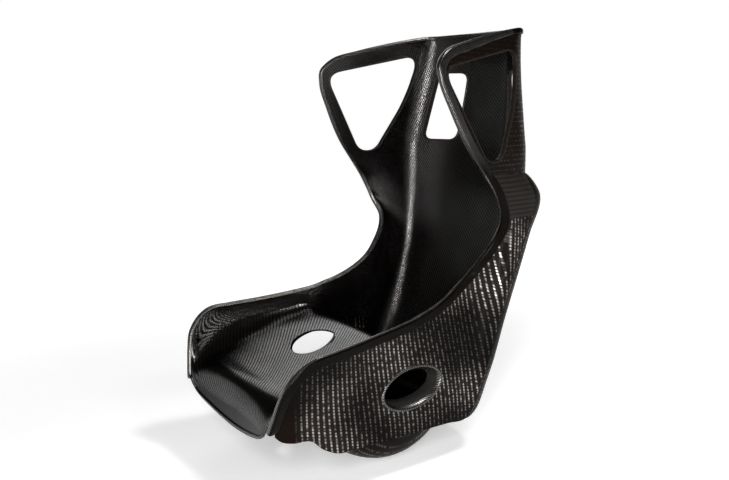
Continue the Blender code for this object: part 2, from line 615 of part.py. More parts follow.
# ------------------------------------------------------------------ assembly
def build():
    """Build every piece of the seat."""
    clear_scene()
    seat = bpy.data.objects.new("seat_frame", None)
    bpy.context.collection.objects.link(seat)

    weave = material("carbon_weave_gloss", (0.018, 0.018, 0.020), 0.18, coat=1.0)
    cloth = material("carbon_coarse_twill", (0.045, 0.043, 0.042), 0.28, coat=0.8)
    edge = material("carbon_edge_tape", (0.030, 0.026, 0.023), 0.30, coat=0.6)
    alloy = material("insert_alloy", (0.62, 0.62, 0.64), 0.35, metallic=1.0)

    loft = Loft(ROWS_PER_STATION)
    grid = loft.grid()
    middle = grid.shape[1] // 2
    out = shell_normals(loft, grid)

    # inner moulding in three laminates, with its windows and strap openings
    inner = {}
    for name, first, last in (("inner_pan", 0, PAN_LAST), ("inner_back", PAN_LAST, WING_FIRST),
                              ("inner_head", WING_FIRST, len(STATIONS) - 1)):
        part = grid[first * loft.per:last * loft.per + 1].copy()
        if first:
            part[0] += unit(part[1] - part[0]) * GAP
        inner[name] = add_object(name, thick_grid(part, out[first * loft.per:last * loft.per + 1], SHELL_T, middle),
                                 weave, seat)
    pan = loft.centre[:8 * loft.per + 1]
    slot_z = float(np.interp(SLOT_Y, pan[:, 1], pan[:, 2]))
    slot = ellipse(SLOT_WIDTH / 2, SLOT_LENGTH / 2, 24) + (0.0, SLOT_Y)
    cut(inner["inner_pan"], prism(slot, "Z", slot_z - 0.045, slot_z + 0.045), "cut_slot", seat)
    wing_outline = rounded(WING_WINDOW, WING_ROUND)
    harness_outline = rounded(HARNESS_WINDOW, HARNESS_ROUND) + (loft.lead, 0.0)
    strap = ellipse(STRAP_LENGTH / 2, STRAP_HEIGHT / 2, 16) + (STRAP_Y, STRAP_Z)
    for side, tag in ((1, "left"), (-1, "right")):
        low, high = sorted((side * 0.10, side * 0.30))
        cut(inner["inner_head"], prism(wing_outline, "X", low, high), "cut_wing_" + tag, seat)
        cut(inner["inner_back"], prism(strap, "X", low, high), "cut_strap_" + tag, seat)
        cut(inner["inner_head"], prism(harness_outline * (side, 1), "Y", 0.30, 0.50), "cut_harness_" + tag, seat)

    # outer moulding of the head and the wings
    head_face = head_surface(loft, grid, out)
    head_out = out[WING_FIRST * loft.per:]
    lower = head_face[0].copy()
    head_face[0] += unit(head_face[1] - head_face[0]) * GAP
    head = add_object("head_skin", thick_grid(head_face - head_out * SKIN_T, head_out, SKIN_T, middle),
                      weave, seat)
    for side, tag in ((1, "left"), (-1, "right")):
        low, high = sorted((side * 0.10, side * 0.30))
        cut(head, prism(wing_outline, "X", low, high), "cut_wing_skin_" + tag, seat)
        cut(head, prism(harness_outline * (side, 1), "Y", 0.30, 0.50), "cut_harness_skin_" + tag, seat)

    # outer mouldings of the sides, with the lap strap hole and its funnel
    corner = middle + FLOOR_COLS + 2
    head_side = resample(lower[corner:][::-1], SKIN_COLS + 2)
    face, hem = side_surface(loft, head_side)
    face_n = unit(np.cross(np.gradient(face, axis=1), np.gradient(face, axis=0)))
    face_n *= np.sign(face_n[len(face) // 2, 4, 0])
    face_n[:, 0] = loft.out[SIDE_FIRST * loft.per:SIDE_FIRST * loft.per + len(face)]
    face_n[:, 1] = face_n[:, 0]
    face_n[-1] = unit(resample(head_out[0][corner:][::-1], SKIN_COLS + 2))
    hole = ellipse(HOLE_LENGTH / 2, HOLE_HEIGHT / 2, 28, HOLE_TILT) + (HOLE_Y, HOLE_Z)
    for side, tag in ((1, "left"), (-1, "right")):
        n = mirrored(face_n, side)
        skin = thick_grid(mirrored(face, side) - n * SKIN_T, n, SKIN_T)
        if side > 0:
            tree = BVHTree.FromBMesh(skin)
        skin = add_object("side_skin_" + tag, skin, cloth, seat)
        low, high = sorted((side * 0.10, side * 0.30))
        cut(skin, prism(hole, "X", low, high), "cut_hole_" + tag, seat)
        outer = []
        inside = []
        for depth, share in ((0.0, 0.0), (0.25, 0.42), (0.6, 0.80), (1.0, 1.0)):
            taper = 1 - (1 - FUNNEL_TAPER) * share
            for less, store in ((GAP, outer), (GAP + FUNNEL_T, inside)):
                ring = ellipse(HOLE_LENGTH / 2 * taper - less, HOLE_HEIGHT / 2 * taper - less, 28, HOLE_TILT)
                store.append([(side * (surface_x(tree, y, z, 0.20) - FUNNEL_DEPTH * depth), y, z)
                              for y, z in ring + (HOLE_Y, HOLE_Z)])
        add_object("belt_funnel_" + tag, tube(outer, inside), edge, seat)

    # back and bottom mouldings
    half = lower[middle:corner + 1]
    d = np.concatenate([[0.0], np.cumsum(np.linalg.norm(np.diff(half, axis=0), axis=1))])
    head_centre = np.stack([np.interp(np.array(BACK_STEPS) * d[-1], d, half[:, c]) for c in range(3)], -1)
    back = back_surface(loft, hem, head_centre)
    back_n = unit(np.cross(np.gradient(back, axis=0), np.gradient(back, axis=1)))
    back_n *= np.sign(back_n[len(back) // 2, len(BACK_STEPS) - 1, 1])
    corner_n = face_n[-len(back):, -1]
    back_n[:, 0] = corner_n * (-1, 1, 1)
    back_n[:, -1] = corner_n
    half_n = np.stack([np.interp(np.array(BACK_STEPS) * d[-1], d, head_out[0][middle:corner + 1][:, c])
                       for c in range(3)], -1)
    back_n[-1] = unit(np.concatenate([(half_n * (-1, 1, 1))[::-1], half_n[1:]]))
    add_object("back_skin", thick_grid(back - back_n * SKIN_T, back_n, SKIN_T, len(BACK_STEPS) - 1), cloth, seat)
    inset = SKIN_T + 2 * GAP
    bottom = bottom_surface(hem, loft.per, inset)
    lift = np.zeros_like(bottom)
    lift[..., 2] = 1.0
    belly = add_object("belly_skin", thick_grid(bottom, lift, SKIN_T, len(BOTTOM_STEPS) - 1), cloth, seat)
    cut(belly, prism(slot, "Z", -0.10, 0.10), "cut_belly_slot", seat)

    # rim: edge strips of the sides, of the wings, and along the top
    for side, tag in ((1, "left"), (-1, "right")):
        add_object("edge_strip_" + tag, rim_strip(loft, 0, WING_FIRST, side, (0.0, GAP / 2),
                                                  (FLANGE_D, FLANGE_D)), edge, seat)
        add_object("wing_edge_" + tag, rim_strip(loft, WING_FIRST, len(STATIONS) - 1, side, (GAP / 2, GAP / 2),
                                                 (FLANGE_D, TOP_FLANGE_D)), edge, seat)
    last = grid[-1]
    top_out = out[-1]
    top_along = unit(np.gradient(last, axis=0))
    top_up = unit(np.cross(top_along, top_out))
    rings = []
    for j, point in enumerate(last):
        core = point + top_out[j] * ROLL_W / 2 + top_up[j] * GAP
        if j in (0, len(last) - 1):
            core = core + top_along[j] * (GAP / 2 if j == 0 else -GAP / 2)
        rings.append(cap_ring(core, top_out[j], top_up[j], TOP_FLANGE_D))
    add_object("top_edge", sweep(rings), edge, seat)

    # window liners between the inner and the outer moulding
    tree_in = BVHTree.FromPolygons([Vector(p) for p in grid.reshape(-1, 3)], faces_of(grid.shape))
    for side, tag in ((1, "left"), (-1, "right")):
        add_object("wing_liner_" + tag, liner(wing_outline, tree_in, "X", side), edge, seat)
        add_object("harness_liner_" + tag, liner(harness_outline, tree_in, "Y", side), edge, seat)

    # binding under the front lip
    low = grid[0]
    strip_out = out[0]
    strip_up = unit(grid[1] - grid[0])
    rings = []
    for j in range(2, len(low) - 2):
        base = low[j] - strip_out[j] * (STRIP_T + GAP) + strip_up[j] * 0.001
        tip = base + strip_up[j] * STRIP_H
        rings.append([base, base + strip_out[j] * STRIP_T, tip + strip_out[j] * STRIP_T, tip])
    add_object("lip_binding", sweep(rings), edge, seat)

    # mounting blocks bonded inside the hem, on the bottom moulding
    for y, place in ((BLOCK_FRONT_Y, "front"), (BLOCK_REAR_Y, "rear")):
        for side, tag in ((1, "left"), (-1, "right")):
            half = hem_x(hem, loft.per, y) - inset - 0.006 - BLOCK_WIDTH / 2
            base = BOTTOM_Z + SKIN_T + GAP
            outline = [(side * half + a * BLOCK_WIDTH / 2, y + b * BLOCK_LENGTH / 2)
                       for a, b in ((-1, -1), (1, -1), (1, 1), (-1, 1))]
            add_object("mount_block_%s_%s" % (place, tag), prism(outline, "Z", base, base + BLOCK_HEIGHT),
                       alloy, seat)

    # the seat's origin is the middle of its underside
    corners = [v.co for o in bpy.data.objects if o.type == "MESH" and not o.hide_render for v in o.data.vertices]
    seat.location = (0.0, -(min(c.y for c in corners) + max(c.y for c in corners)) / 2,
                     -min(c.z for c in corners))


def faces_of(shape):
    """Quads of a grid's points in reading order."""
    rows, cols = shape[:2]
    return [(i * cols + j, i * cols + j + 1, (i + 1) * cols + j + 1, (i + 1) * cols + j)
            for i in range(rows - 1) for j in range(cols - 1)]


def liner(outline, tree, axis, side):
    """Ring that closes a window between the two mouldings."""
    centre = outline.mean(axis=0)
    size = np.linalg.norm(outline - centre, axis=1, keepdims=True)
    depth = ROLL_W - FLANGE_T - FLANGE_GAP
    rings = []
    for draw in (GAP, GAP + LINER_T):
        shrunk = centre + (outline - centre) * (1 - draw / size)
        pair = []
        for d in (0.0, depth):
            pts = []
            for a, b in shrunk:
                if axis == "X":
                    hit = tree.ray_cast(Vector((0.0, a, b)), Vector((1, 0, 0)))
                    x = hit[0].x if hit[0] is not None else 0.2
                    pts.append((side * (x + d), a, b))
                else:
                    hit = tree.ray_cast(Vector((a, 0.0, b)), Vector((0, 1, 0)))
                    y = hit[0].y if hit[0] is not None else 0.4
                    pts.append((side * a, y + d * 1.12, b))
            pair.append(pts)
        rings.append(pair)
    return tube(rings[0], rings[1])


build()
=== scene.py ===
"""Dressed model of a carbon-fibre bucket seat with head wings.

Every moulding, tape, liner and funnel of the bonded shell is built again, smooth and
dense, from the stations that its solids are lofted through, and gets the cloth, resin
or metal that it is made of. Lengths are metres, +Z is up and the seat faces -Y.
"""
import logging
import math
from dataclasses import dataclass, field
from enum import Enum
from functools import reduce

import bmesh
import bpy
import numpy as np
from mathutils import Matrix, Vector
from mathutils.bvhtree import BVHTree


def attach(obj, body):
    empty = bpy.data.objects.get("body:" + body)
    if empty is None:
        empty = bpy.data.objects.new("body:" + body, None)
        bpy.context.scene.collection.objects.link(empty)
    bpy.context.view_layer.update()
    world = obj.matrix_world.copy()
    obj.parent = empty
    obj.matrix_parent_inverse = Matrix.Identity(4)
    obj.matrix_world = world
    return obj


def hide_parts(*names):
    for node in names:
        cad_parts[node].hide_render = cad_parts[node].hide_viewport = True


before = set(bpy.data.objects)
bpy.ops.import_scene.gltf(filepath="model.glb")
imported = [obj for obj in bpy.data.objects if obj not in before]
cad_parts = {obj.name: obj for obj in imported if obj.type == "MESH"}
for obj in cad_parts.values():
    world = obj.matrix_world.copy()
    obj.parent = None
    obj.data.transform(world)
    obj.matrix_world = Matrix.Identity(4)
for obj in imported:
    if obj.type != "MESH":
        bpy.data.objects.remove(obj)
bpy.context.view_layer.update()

Array = np.ndarray
Pair = tuple[float, float]
Colour = tuple[float, float, float]
Socket = bpy.types.NodeSocket

BODY = "root"
COORDS = "cloth"                                  # UV map that carries the cloth's own metres
TO_SEAT = np.array((0.0, -0.08501, 0.03499))      # from the loft's frame to the seat's
SIDES = {1: "left", -1: "right"}
METAL_SHARE = (0.05, 0.5)                         # shares of lit tow between which a weave turns metallic
WHITE = (1.0, 1.0, 1.0)
SHARP = 38.0                                      # edges that turn by more degrees stay sharp
LIP_SHARP = 60.0                                  # the same on the rounded lips of liners and funnels
ARC_STEPS = 13                                    # points on each rounded corner of an outline

log = logging.getLogger("racing_seat")


class Slot(Enum):
    """Material slots of the seat."""

    TWILL = "carbon_weave"
    CLOTH = "carbon_cloth"
    TAPE = "carbon_edge"
    ALLOY = "insert_alloy"


class Axis(Enum):
    """Direction in which an opening goes through a moulding."""

    ACROSS = 0
    BACKWARD = 1
    DOWN = 2


# ------------------------------------------------------------------ maths
def unit(v: Array) -> Array:
    """Vector or rows of vectors scaled to length one."""
    v = np.asarray(v, float)
    return v / np.maximum(np.linalg.norm(v, axis=-1, keepdims=True), 1e-12)


def spline(points: Array, per: int) -> Array:
    """Smooth curve through points.

    Args:
        points: Rows that the curve passes through.
        per: Steps between one row and the next.

    Returns:
        The curve's rows, the given ones included.
    """
    p = np.asarray(points, float)
    h = np.maximum(np.linalg.norm(np.diff(p, axis=0), axis=1), 1e-9)
    slope = np.diff(p, axis=0) / h[:, None]
    tangent = np.empty_like(p)
    tangent[1:-1] = (slope[:-1] * h[1:, None] + slope[1:] * h[:-1, None]) / (h[1:] + h[:-1])[:, None]
    tangent[0] = 2 * slope[0] - tangent[1]
    tangent[-1] = 2 * slope[-1] - tangent[-2]
    t = (np.arange(per) / per)[:, None]
    out = [(2 * t**3 - 3 * t**2 + 1) * p[i] + (t**3 - 2 * t**2 + t) * h[i] * tangent[i]
           + (3 * t**2 - 2 * t**3) * p[i + 1] + (t**3 - t**2) * h[i] * tangent[i + 1]
           for i in range(len(h))]
    return np.concatenate(out + [p[-1:]])


def bezier(a: Array, b: Array, c: Array, d: Array, n: int) -> Array:
    """Points of a cubic Bezier curve in n steps, ends included."""
    t = np.linspace(0.0, 1.0, n + 1)[:, None]
    return (1 - t)**3 * a + 3 * t * (1 - t)**2 * b + 3 * t**2 * (1 - t) * c + t**3 * d


def walk(points: Array, share: Array) -> Array:
    """Points at the given shares of an open polyline's length."""
    p = np.asarray(points, float)
    d = np.insert(np.cumsum(np.linalg.norm(np.diff(p, axis=0), axis=1)), 0, 0.0)
    return np.stack([np.interp(share * d[-1], d, p[:, c]) for c in range(p.shape[1])], -1)


def rounded(corners: tuple, radii: tuple, n: int) -> Array:
    """Closed outline with rounded corners.

    Args:
        corners: The 2D corners before rounding.
        radii: How far from each corner its arc begins.
        n: Number of points, at even steps.

    Returns:
        The outline's points, without the first one repeated.
    """
    pts = []
    t = np.linspace(0.0, 1.0, ARC_STEPS)[:, None]
    for i, radius in enumerate(radii):
        p = np.array(corners[i], float)
        a = p + unit(np.array(corners[i - 1]) - p) * radius
        b = p + unit(np.array(corners[(i + 1) % len(corners)]) - p) * radius
        pts.append((1 - t)**2 * a + 2 * t * (1 - t) * p + t**2 * b)
    pts = np.concatenate(pts)
    return walk(np.concatenate([pts, pts[:1]]), np.linspace(0.0, 1.0, n + 1))[:-1]


def ellipse(a: float, b: float, n: int, tilt: float = 0.0) -> Array:
    """Points of an ellipse with half axes a and b, turned by tilt."""
    t = np.linspace(0, 2 * math.pi, n, endpoint=False)
    x = a * np.cos(t)
    y = b * np.sin(t)
    return np.stack([x * math.cos(tilt) - y * math.sin(tilt), x * math.sin(tilt) + y * math.cos(tilt)], -1)


def outward(outline: Array) -> Array:
    """Unit normals of a closed 2D outline, pointing out of it."""
    step = np.roll(outline, -1, axis=0) - np.roll(outline, 1, axis=0)
    n = unit(np.stack([step[:, 1], -step[:, 0]], -1))
    facing = np.sum(n * (outline - outline.mean(axis=0)))
    return n * np.sign(facing)


def smooth(t: Array | float) -> Array:
    """Ease from 0 to 1 with flat ends."""
    t = np.clip(t, 0.0, 1.0)
    return t * t * (3 - 2 * t)


def arc(grid: Array, axis: int, start: int) -> Array:
    """Length along a grid's lines.

    Args:
        grid: Points, rows by columns.
        axis: 0 to go from row to row, 1 to go from column to column.
        start: Row or column where the length is 0.

    Returns:
        One length for each point.
    """
    step = np.linalg.norm(np.diff(grid, axis=axis), axis=-1)
    length = np.cumsum(np.insert(step, 0, 0.0, axis=axis), axis=axis)
    return length - np.take(length, [start], axis=axis)


def mirrored(points: Array, side: int) -> Array:
    """Points of the near side, or their mirror image for side -1."""
    return np.asarray(points) * (side, 1, 1)


def both_sides(half: Array) -> Array:
    """Row from edge to edge, from its half that starts on the centre line."""
    return np.concatenate([mirrored(half, -1)[::-1], half[1:]])


def crowded(n: int, power: float) -> Array:
    """n parts of a half width, from 0 to 1, closer together towards the edge."""
    return 1 - (1 - np.linspace(0.0, 1.0, n)) ** power


def bowed(s: Array) -> Array:
    """Plan shape of the back: 1 on the centre line and 0 at the edges."""
    return (1 - np.abs(s) ** 4) ** 0.6


def facing(rows: Array, columns: Array, column: int, part: int) -> Array:
    """Unit normals of a face, turned so that one part is positive halfway up one column.

    Args:
        rows: Steps from each point to the next in one direction of the grid.
        columns: Steps in the other direction.
        column: The column to look at.
        part: 0 for X and 1 for Y.

    Returns:
        The normals.
    """
    n = unit(np.cross(rows, columns))
    return n * np.sign(n[len(n) // 2, column, part])


# ------------------------------------------------------------------ meshes
@dataclass
class Shape:
    """Points, faces and cloth coordinates of one piece."""

    points: list[Array] = field(default_factory=list)
    faces: list[tuple[int, ...]] = field(default_factory=list)
    coords: list[Array] = field(default_factory=list)
    count: int = 0

    def add_points(self, points: Array) -> Array:
        """Add points and return their numbers, in the same layout."""
        flat = points.reshape(-1, 3)
        numbers = np.arange(self.count, self.count + len(flat)).reshape(points.shape[:-1])
        self.points.append(flat)
        self.count += len(flat)
        return numbers

    def add_quads(self, numbers: Array, coords: Array) -> None:
        """Add the quads of a numbered grid, with a cloth coordinate for each of its points."""
        def ring(a: Array) -> Array:
            """Corners of every quad, in order round it."""
            return np.stack([a[:-1, :-1], a[:-1, 1:], a[1:, 1:], a[1:, :-1]], 2)
        self.faces += [tuple(int(k) for k in q) for q in ring(numbers).reshape(-1, 4)]
        self.coords.append(ring(coords).reshape(-1, 2))

    def add_face(self, numbers: Array, coords: Array) -> None:
        """Add one face of any number of corners."""
        self.faces.append(tuple(int(k) for k in numbers))
        self.coords.append(np.asarray(coords, float))

    def make(self, name: str, smooth_to: float = SHARP) -> bpy.types.Object:
        """Turn the shape into a shaded object in the seat's frame.

        Args:
            name: The object's name.
            smooth_to: Edges that turn by more degrees than this stay sharp.

        Returns:
            The new object.
        """
        mesh = bpy.data.meshes.new(name)
        mesh.from_pydata((np.concatenate(self.points) + TO_SEAT).tolist(), [], self.faces)
        layer = mesh.uv_layers.new(name=COORDS)
        layer.data.foreach_set("uv", np.concatenate(self.coords).astype(np.float32).ravel())
        obj = bpy.data.objects.new(name, mesh)
        bpy.context.collection.objects.link(obj)
        tidy(mesh, smooth_to)
        return obj


def tidy(mesh: bpy.types.Mesh, smooth_to: float) -> None:
    """Merge doubled points, turn every face outward and shade the mesh smooth."""
    bm = bmesh.new()
    bm.from_mesh(mesh)
    bmesh.ops.remove_doubles(bm, verts=bm.verts, dist=1e-6)
    bmesh.ops.dissolve_degenerate(bm, dist=1e-6, edges=bm.edges)
    bmesh.ops.recalc_face_normals(bm, faces=bm.faces)
    bm.to_mesh(mesh)
    bm.free()
    mesh.shade_smooth()
    mesh.set_sharp_from_angle(angle=math.radians(smooth_to))


def sheet(grid: Array, normal: Array, thick: float, coords: Array) -> Shape:
    """Closed laminate between a grid and its copy.

    Args:
        grid: Points of one face, rows by columns.
        normal: Direction of the copy at each point.
        thick: Distance of the copy.
        coords: Cloth coordinate of each point.

    Returns:
        The laminate.
    """
    shape = Shape()
    front = shape.add_points(grid)
    back = shape.add_points(grid + normal * thick)
    shape.add_quads(front, coords)
    shape.add_quads(back, coords)
    for pick in (np.s_[:, 0], np.s_[:, -1], np.s_[0], np.s_[-1]):
        shape.add_quads(np.stack([front[pick], back[pick]]), np.stack([coords[pick], coords[pick]]))
    return shape


def bar(rings: Array, closed: bool = False) -> Shape:
    """Bar swept through rings of points.

    Args:
        rings: Rings by points. Each ring closes on itself.
        closed: Whether the last ring joins the first, as in a hoop.

    Returns:
        The bar. Its cloth coordinates are the length along it and around it.
    """
    rings = np.asarray(rings, float)
    shape = Shape()
    numbers = shape.add_points(rings)
    loop = np.concatenate([rings, rings[:, :1]], axis=1)
    around = arc(loop, 1, 0)
    if closed:
        numbers = np.concatenate([numbers, numbers[:1]])
        loop = np.concatenate([loop, loop[:1]])
        around = np.concatenate([around, around[:1]])
    along = np.broadcast_to(arc(loop.mean(axis=1, keepdims=True), 0, 0), around.shape)
    coords = np.stack([along, around], -1)
    shape.add_quads(np.concatenate([numbers, numbers[:, :1]], axis=1), coords)
    if not closed:
        shape.add_face(numbers[0], coords[0, :-1])
        shape.add_face(numbers[-1][::-1], coords[-1, :-1])
    return shape


def prism(outline: Array, axis: Axis, low: float, high: float) -> Shape:
    """Closed prism of a 2D outline along one axis."""
    ends = [np.insert(outline, axis.value, level, axis=1) for level in (low, high)]
    return bar(np.array(ends))


def cut(obj: bpy.types.Object, cutters: list[Shape], smooth_to: float = SHARP) -> None:
    """Cut shapes out of an object and keep its cloth coordinates."""
    for number, shape in enumerate(cutters):
        tool = shape.make("cutter_%d" % number)
        boolean = obj.modifiers.new("opening", "BOOLEAN")
        boolean.operation = "DIFFERENCE"
        boolean.solver = "EXACT"
        boolean.object = tool
        graph = bpy.context.evaluated_depsgraph_get()
        mesh = bpy.data.meshes.new_from_object(obj.evaluated_get(graph), depsgraph=graph)
        obj.modifiers.clear()
        obj.data = mesh
        bpy.data.objects.remove(tool, do_unlink=True)
    tidy(obj.data, smooth_to)


def fit(obj: bpy.types.Object, finish: "Finish", slot: Slot, *nodes: str) -> bpy.types.Object:
    """Give a piece its finish and its place in the assembly.

    Args:
        obj: The piece.
        finish: Its finish.
        slot: The material slot that the finish belongs to. It is not used.
        *nodes: The solids that the piece stands for.

    Returns:
        The piece.
    """
    obj.data.materials.clear()
    obj.data.materials.append(finish.material())
    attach(obj, BODY)
    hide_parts(*nodes)
    log.info("%s: %d faces", obj.name, len(obj.data.polygons))
    return obj


# ------------------------------------------------------------------ finishes
class Nodes:
    """Short calls for the nodes of one tree."""

    def __init__(self, tree: bpy.types.NodeTree) -> None:
        """Take the tree that the nodes go into."""
        self.tree = tree

    def put(self, socket: Socket, value: object) -> None:
        """Link a socket to another one, or set its value."""
        if isinstance(value, Socket):
            self.tree.links.new(value, socket)
        elif isinstance(value, tuple) and len(value) == 3 and socket.type == "RGBA":
            socket.default_value = (*value, 1.0)
        else:
            socket.default_value = value

    def maths(self, operation: str, *values: object) -> Socket:
        """Result of one sum."""
        node = self.tree.nodes.new("ShaderNodeMath")
        node.operation = operation
        for socket, value in zip(node.inputs, values):
            self.put(socket, value)
        return node.outputs[0]

    def times(self, *values: object) -> Socket:
        """Product of all values."""
        return reduce(lambda a, b: self.maths("MULTIPLY", a, b), values)

    def plus(self, a: object, b: object) -> Socket:
        """Sum of two values."""
        return self.maths("ADD", a, b)

    def minus(self, a: object, b: object) -> Socket:
        """Difference of two values."""
        return self.maths("SUBTRACT", a, b)

    def parts(self, vector: Socket) -> list[Socket]:
        """The three parts of a vector."""
        node = self.tree.nodes.new("ShaderNodeSeparateXYZ")
        self.put(node.inputs[0], vector)
        return list(node.outputs)

    def place(self, kind: str = "Object") -> list[Socket]:
        """The point's own three coordinates on the object, in metres, or those of another kind."""
        return self.parts(self.tree.nodes.new("ShaderNodeTexCoord").outputs[kind])

    def ramp(self, value: Socket, low: float, high: float, at_low: float = 0.0, at_high: float = 1.0) -> Socket:
        """Ease from at_low to at_high as the value goes from low to high."""
        node = self.tree.nodes.new("ShaderNodeMapRange")
        node.interpolation_type = "SMOOTHSTEP"
        for socket, number in zip(node.inputs, (value, low, high, at_low, at_high)):
            self.put(socket, number)
        return node.outputs[0]

    def seen(self) -> Socket:
        """1 for the rays that show the surroundings: to the camera, in gloss and through glass."""
        path = self.tree.nodes.new("ShaderNodeLightPath").outputs
        shown = self.maths("MAXIMUM", path["Is Camera Ray"], path["Is Glossy Ray"])
        return self.maths("MAXIMUM", shown, path["Is Transmission Ray"])


@dataclass(frozen=True)
class Resin:
    """Clear resin over fibres."""

    gloss: float                      # how much of the clear coat shows
    rough: float                      # roughness of that coat
    specular: float                   # shine of the dark cloth under it
    ior: float = 1.45


class Weave(Nodes):
    """Node tree of one finish, with the patterns that a weave needs."""

    def __init__(self, name: str) -> None:
        """Start a material with one Principled shader."""
        self.material = bpy.data.materials.new(name)
        self.material.use_nodes = True
        super().__init__(self.material.node_tree)
        self.shader = self.tree.nodes["Principled BSDF"]

    def set(self, **values: object) -> None:
        """Put values on the shader's sockets, with _ for the spaces in their names."""
        for name, value in values.items():
            self.put(self.shader.inputs[name.replace("_", " ")], value)

    def cloth(self) -> tuple[Socket, Socket]:
        """The cloth's own two coordinates, in metres."""
        node = self.tree.nodes.new("ShaderNodeUVMap")
        node.uv_map = COORDS
        u, v, _ = self.parts(node.outputs[0])
        return u, v

    def noise(self, u: Socket, v: Socket, scale: Pair, detail: float = 1.0) -> Socket:
        """Smooth noise from 0 to 1 over two coordinates."""
        joined = self.tree.nodes.new("ShaderNodeCombineXYZ")
        self.put(joined.inputs[0], self.times(u, scale[0]))
        self.put(joined.inputs[1], self.times(v, scale[1]))
        node = self.tree.nodes.new("ShaderNodeTexNoise")
        for name, value in (("Vector", joined.outputs[0]), ("Scale", 1.0), ("Detail", detail)):
            self.put(node.inputs[name], value)
        return node.outputs[0]

    def drift(self, u: Socket, v: Socket, scale: Pair, span: float) -> Socket:
        """How far the tows stray at each point, over a span centred on 0."""
        return self.times(self.minus(self.noise(u, v, scale), 0.5), span)

    def blend(self, share: object, low: object, high: object) -> Socket:
        """Colour between low and high."""
        node = self.tree.nodes.new("ShaderNodeMix")
        node.data_type = "RGBA"
        for number, value in ((0, share), (6, low), (7, high)):
            self.put(node.inputs[number], value)
        return node.outputs[2]

    def bump(self, height: Socket, distance: float, strength: float) -> Socket:
        """Normal of a surface raised by height times distance."""
        node = self.tree.nodes.new("ShaderNodeBump")
        for name, value in (("Height", height), ("Distance", distance), ("Strength", strength)):
            self.put(node.inputs[name], value)
        return node.outputs[0]

    def hump(self, t: Socket, width: float = 1.0) -> Socket:
        """Half wave that is 0 at t = 0 and t = width and 1 between them."""
        wave = self.maths("SINE", self.times(t, math.pi / width))
        return self.maths("POWER", self.maths("MAXIMUM", wave, 0.0), 0.5)

    def wave(self, t: Socket) -> Socket:
        """One hump for each whole step of t."""
        return self.hump(self.maths("FRACT", t))

    def twill(self, u: Socket, v: Socket, tow: float) -> tuple[Socket, Socket]:
        """Two-by-two twill.

        Args:
            u: Cloth coordinate across the warp.
            v: Cloth coordinate along the warp.
            tow: Width of one tow.

        Returns:
            1 where the warp lies on top and 0 elsewhere, and the height of the cloth from 0 to 1.
        """
        float_over = 2.0
        repeat = 2 * float_over
        a = self.maths("DIVIDE", u, tow)
        b = self.maths("DIVIDE", v, tow)
        warp_at = self.maths("FLOORED_MODULO", self.plus(b, self.maths("FLOOR", a)), repeat)
        weft_at = self.maths("FLOORED_MODULO", self.plus(a, self.maths("FLOOR", b)), repeat)
        over = self.maths("LESS_THAN", warp_at, float_over)
        warp = self.times(self.hump(warp_at, float_over), self.wave(a))
        weft = self.times(self.hump(self.minus(weft_at, float_over), float_over), self.wave(b))
        return over, self.plus(self.times(over, warp), self.times(self.minus(1.0, over), weft))

    def fibre(self, share: Socket, base: object, lit: Colour, rough: Socket, resin: Resin,
              normal: Socket) -> None:
        """Dress the shader as fibres under resin.

        Args:
            share: How much of the lit tows shows, from 0 to 1.
            base: Colour of the rest.
            lit: Colour of a tow that faces the light.
            rough: Roughness of the fibres.
            resin: The resin over them.
            normal: The surface's normal.
        """
        self.set(Base_Color=self.blend(share, base, lit), Metallic=self.ramp(share, *METAL_SHARE),
                 Roughness=rough, Specular_IOR_Level=resin.specular, Coat_Weight=resin.gloss,
                 Coat_Roughness=resin.rough, Coat_IOR=resin.ior, Normal=normal)


@dataclass(frozen=True)
class Mottle:
    """Uneven patches over a cloth."""

    scale: Pair                       # patches per metre along the cloth's two coordinates
    levels: Pair                      # levels of noise between which a patch fades in
    least: float                      # how much shows between the patches
    detail: float = 1.0

    def over(self, g: Weave, u: Socket, v: Socket) -> Socket:
        """How much shows at each point, from least to 1."""
        return g.ramp(g.noise(u, v, self.scale, self.detail), *self.levels, self.least, 1.0)


class Finish:
    """A finish whose material is made once, however many pieces wear it."""

    made: dict[str, bpy.types.Material] = {}

    def material(self) -> bpy.types.Material:
        """The finish's material."""
        key = repr(self)
        if key not in Finish.made:
            Finish.made[key] = self.dress().material
        return Finish.made[key]

    def dress(self) -> Weave:
        """Build the finish's nodes."""
        raise NotImplementedError


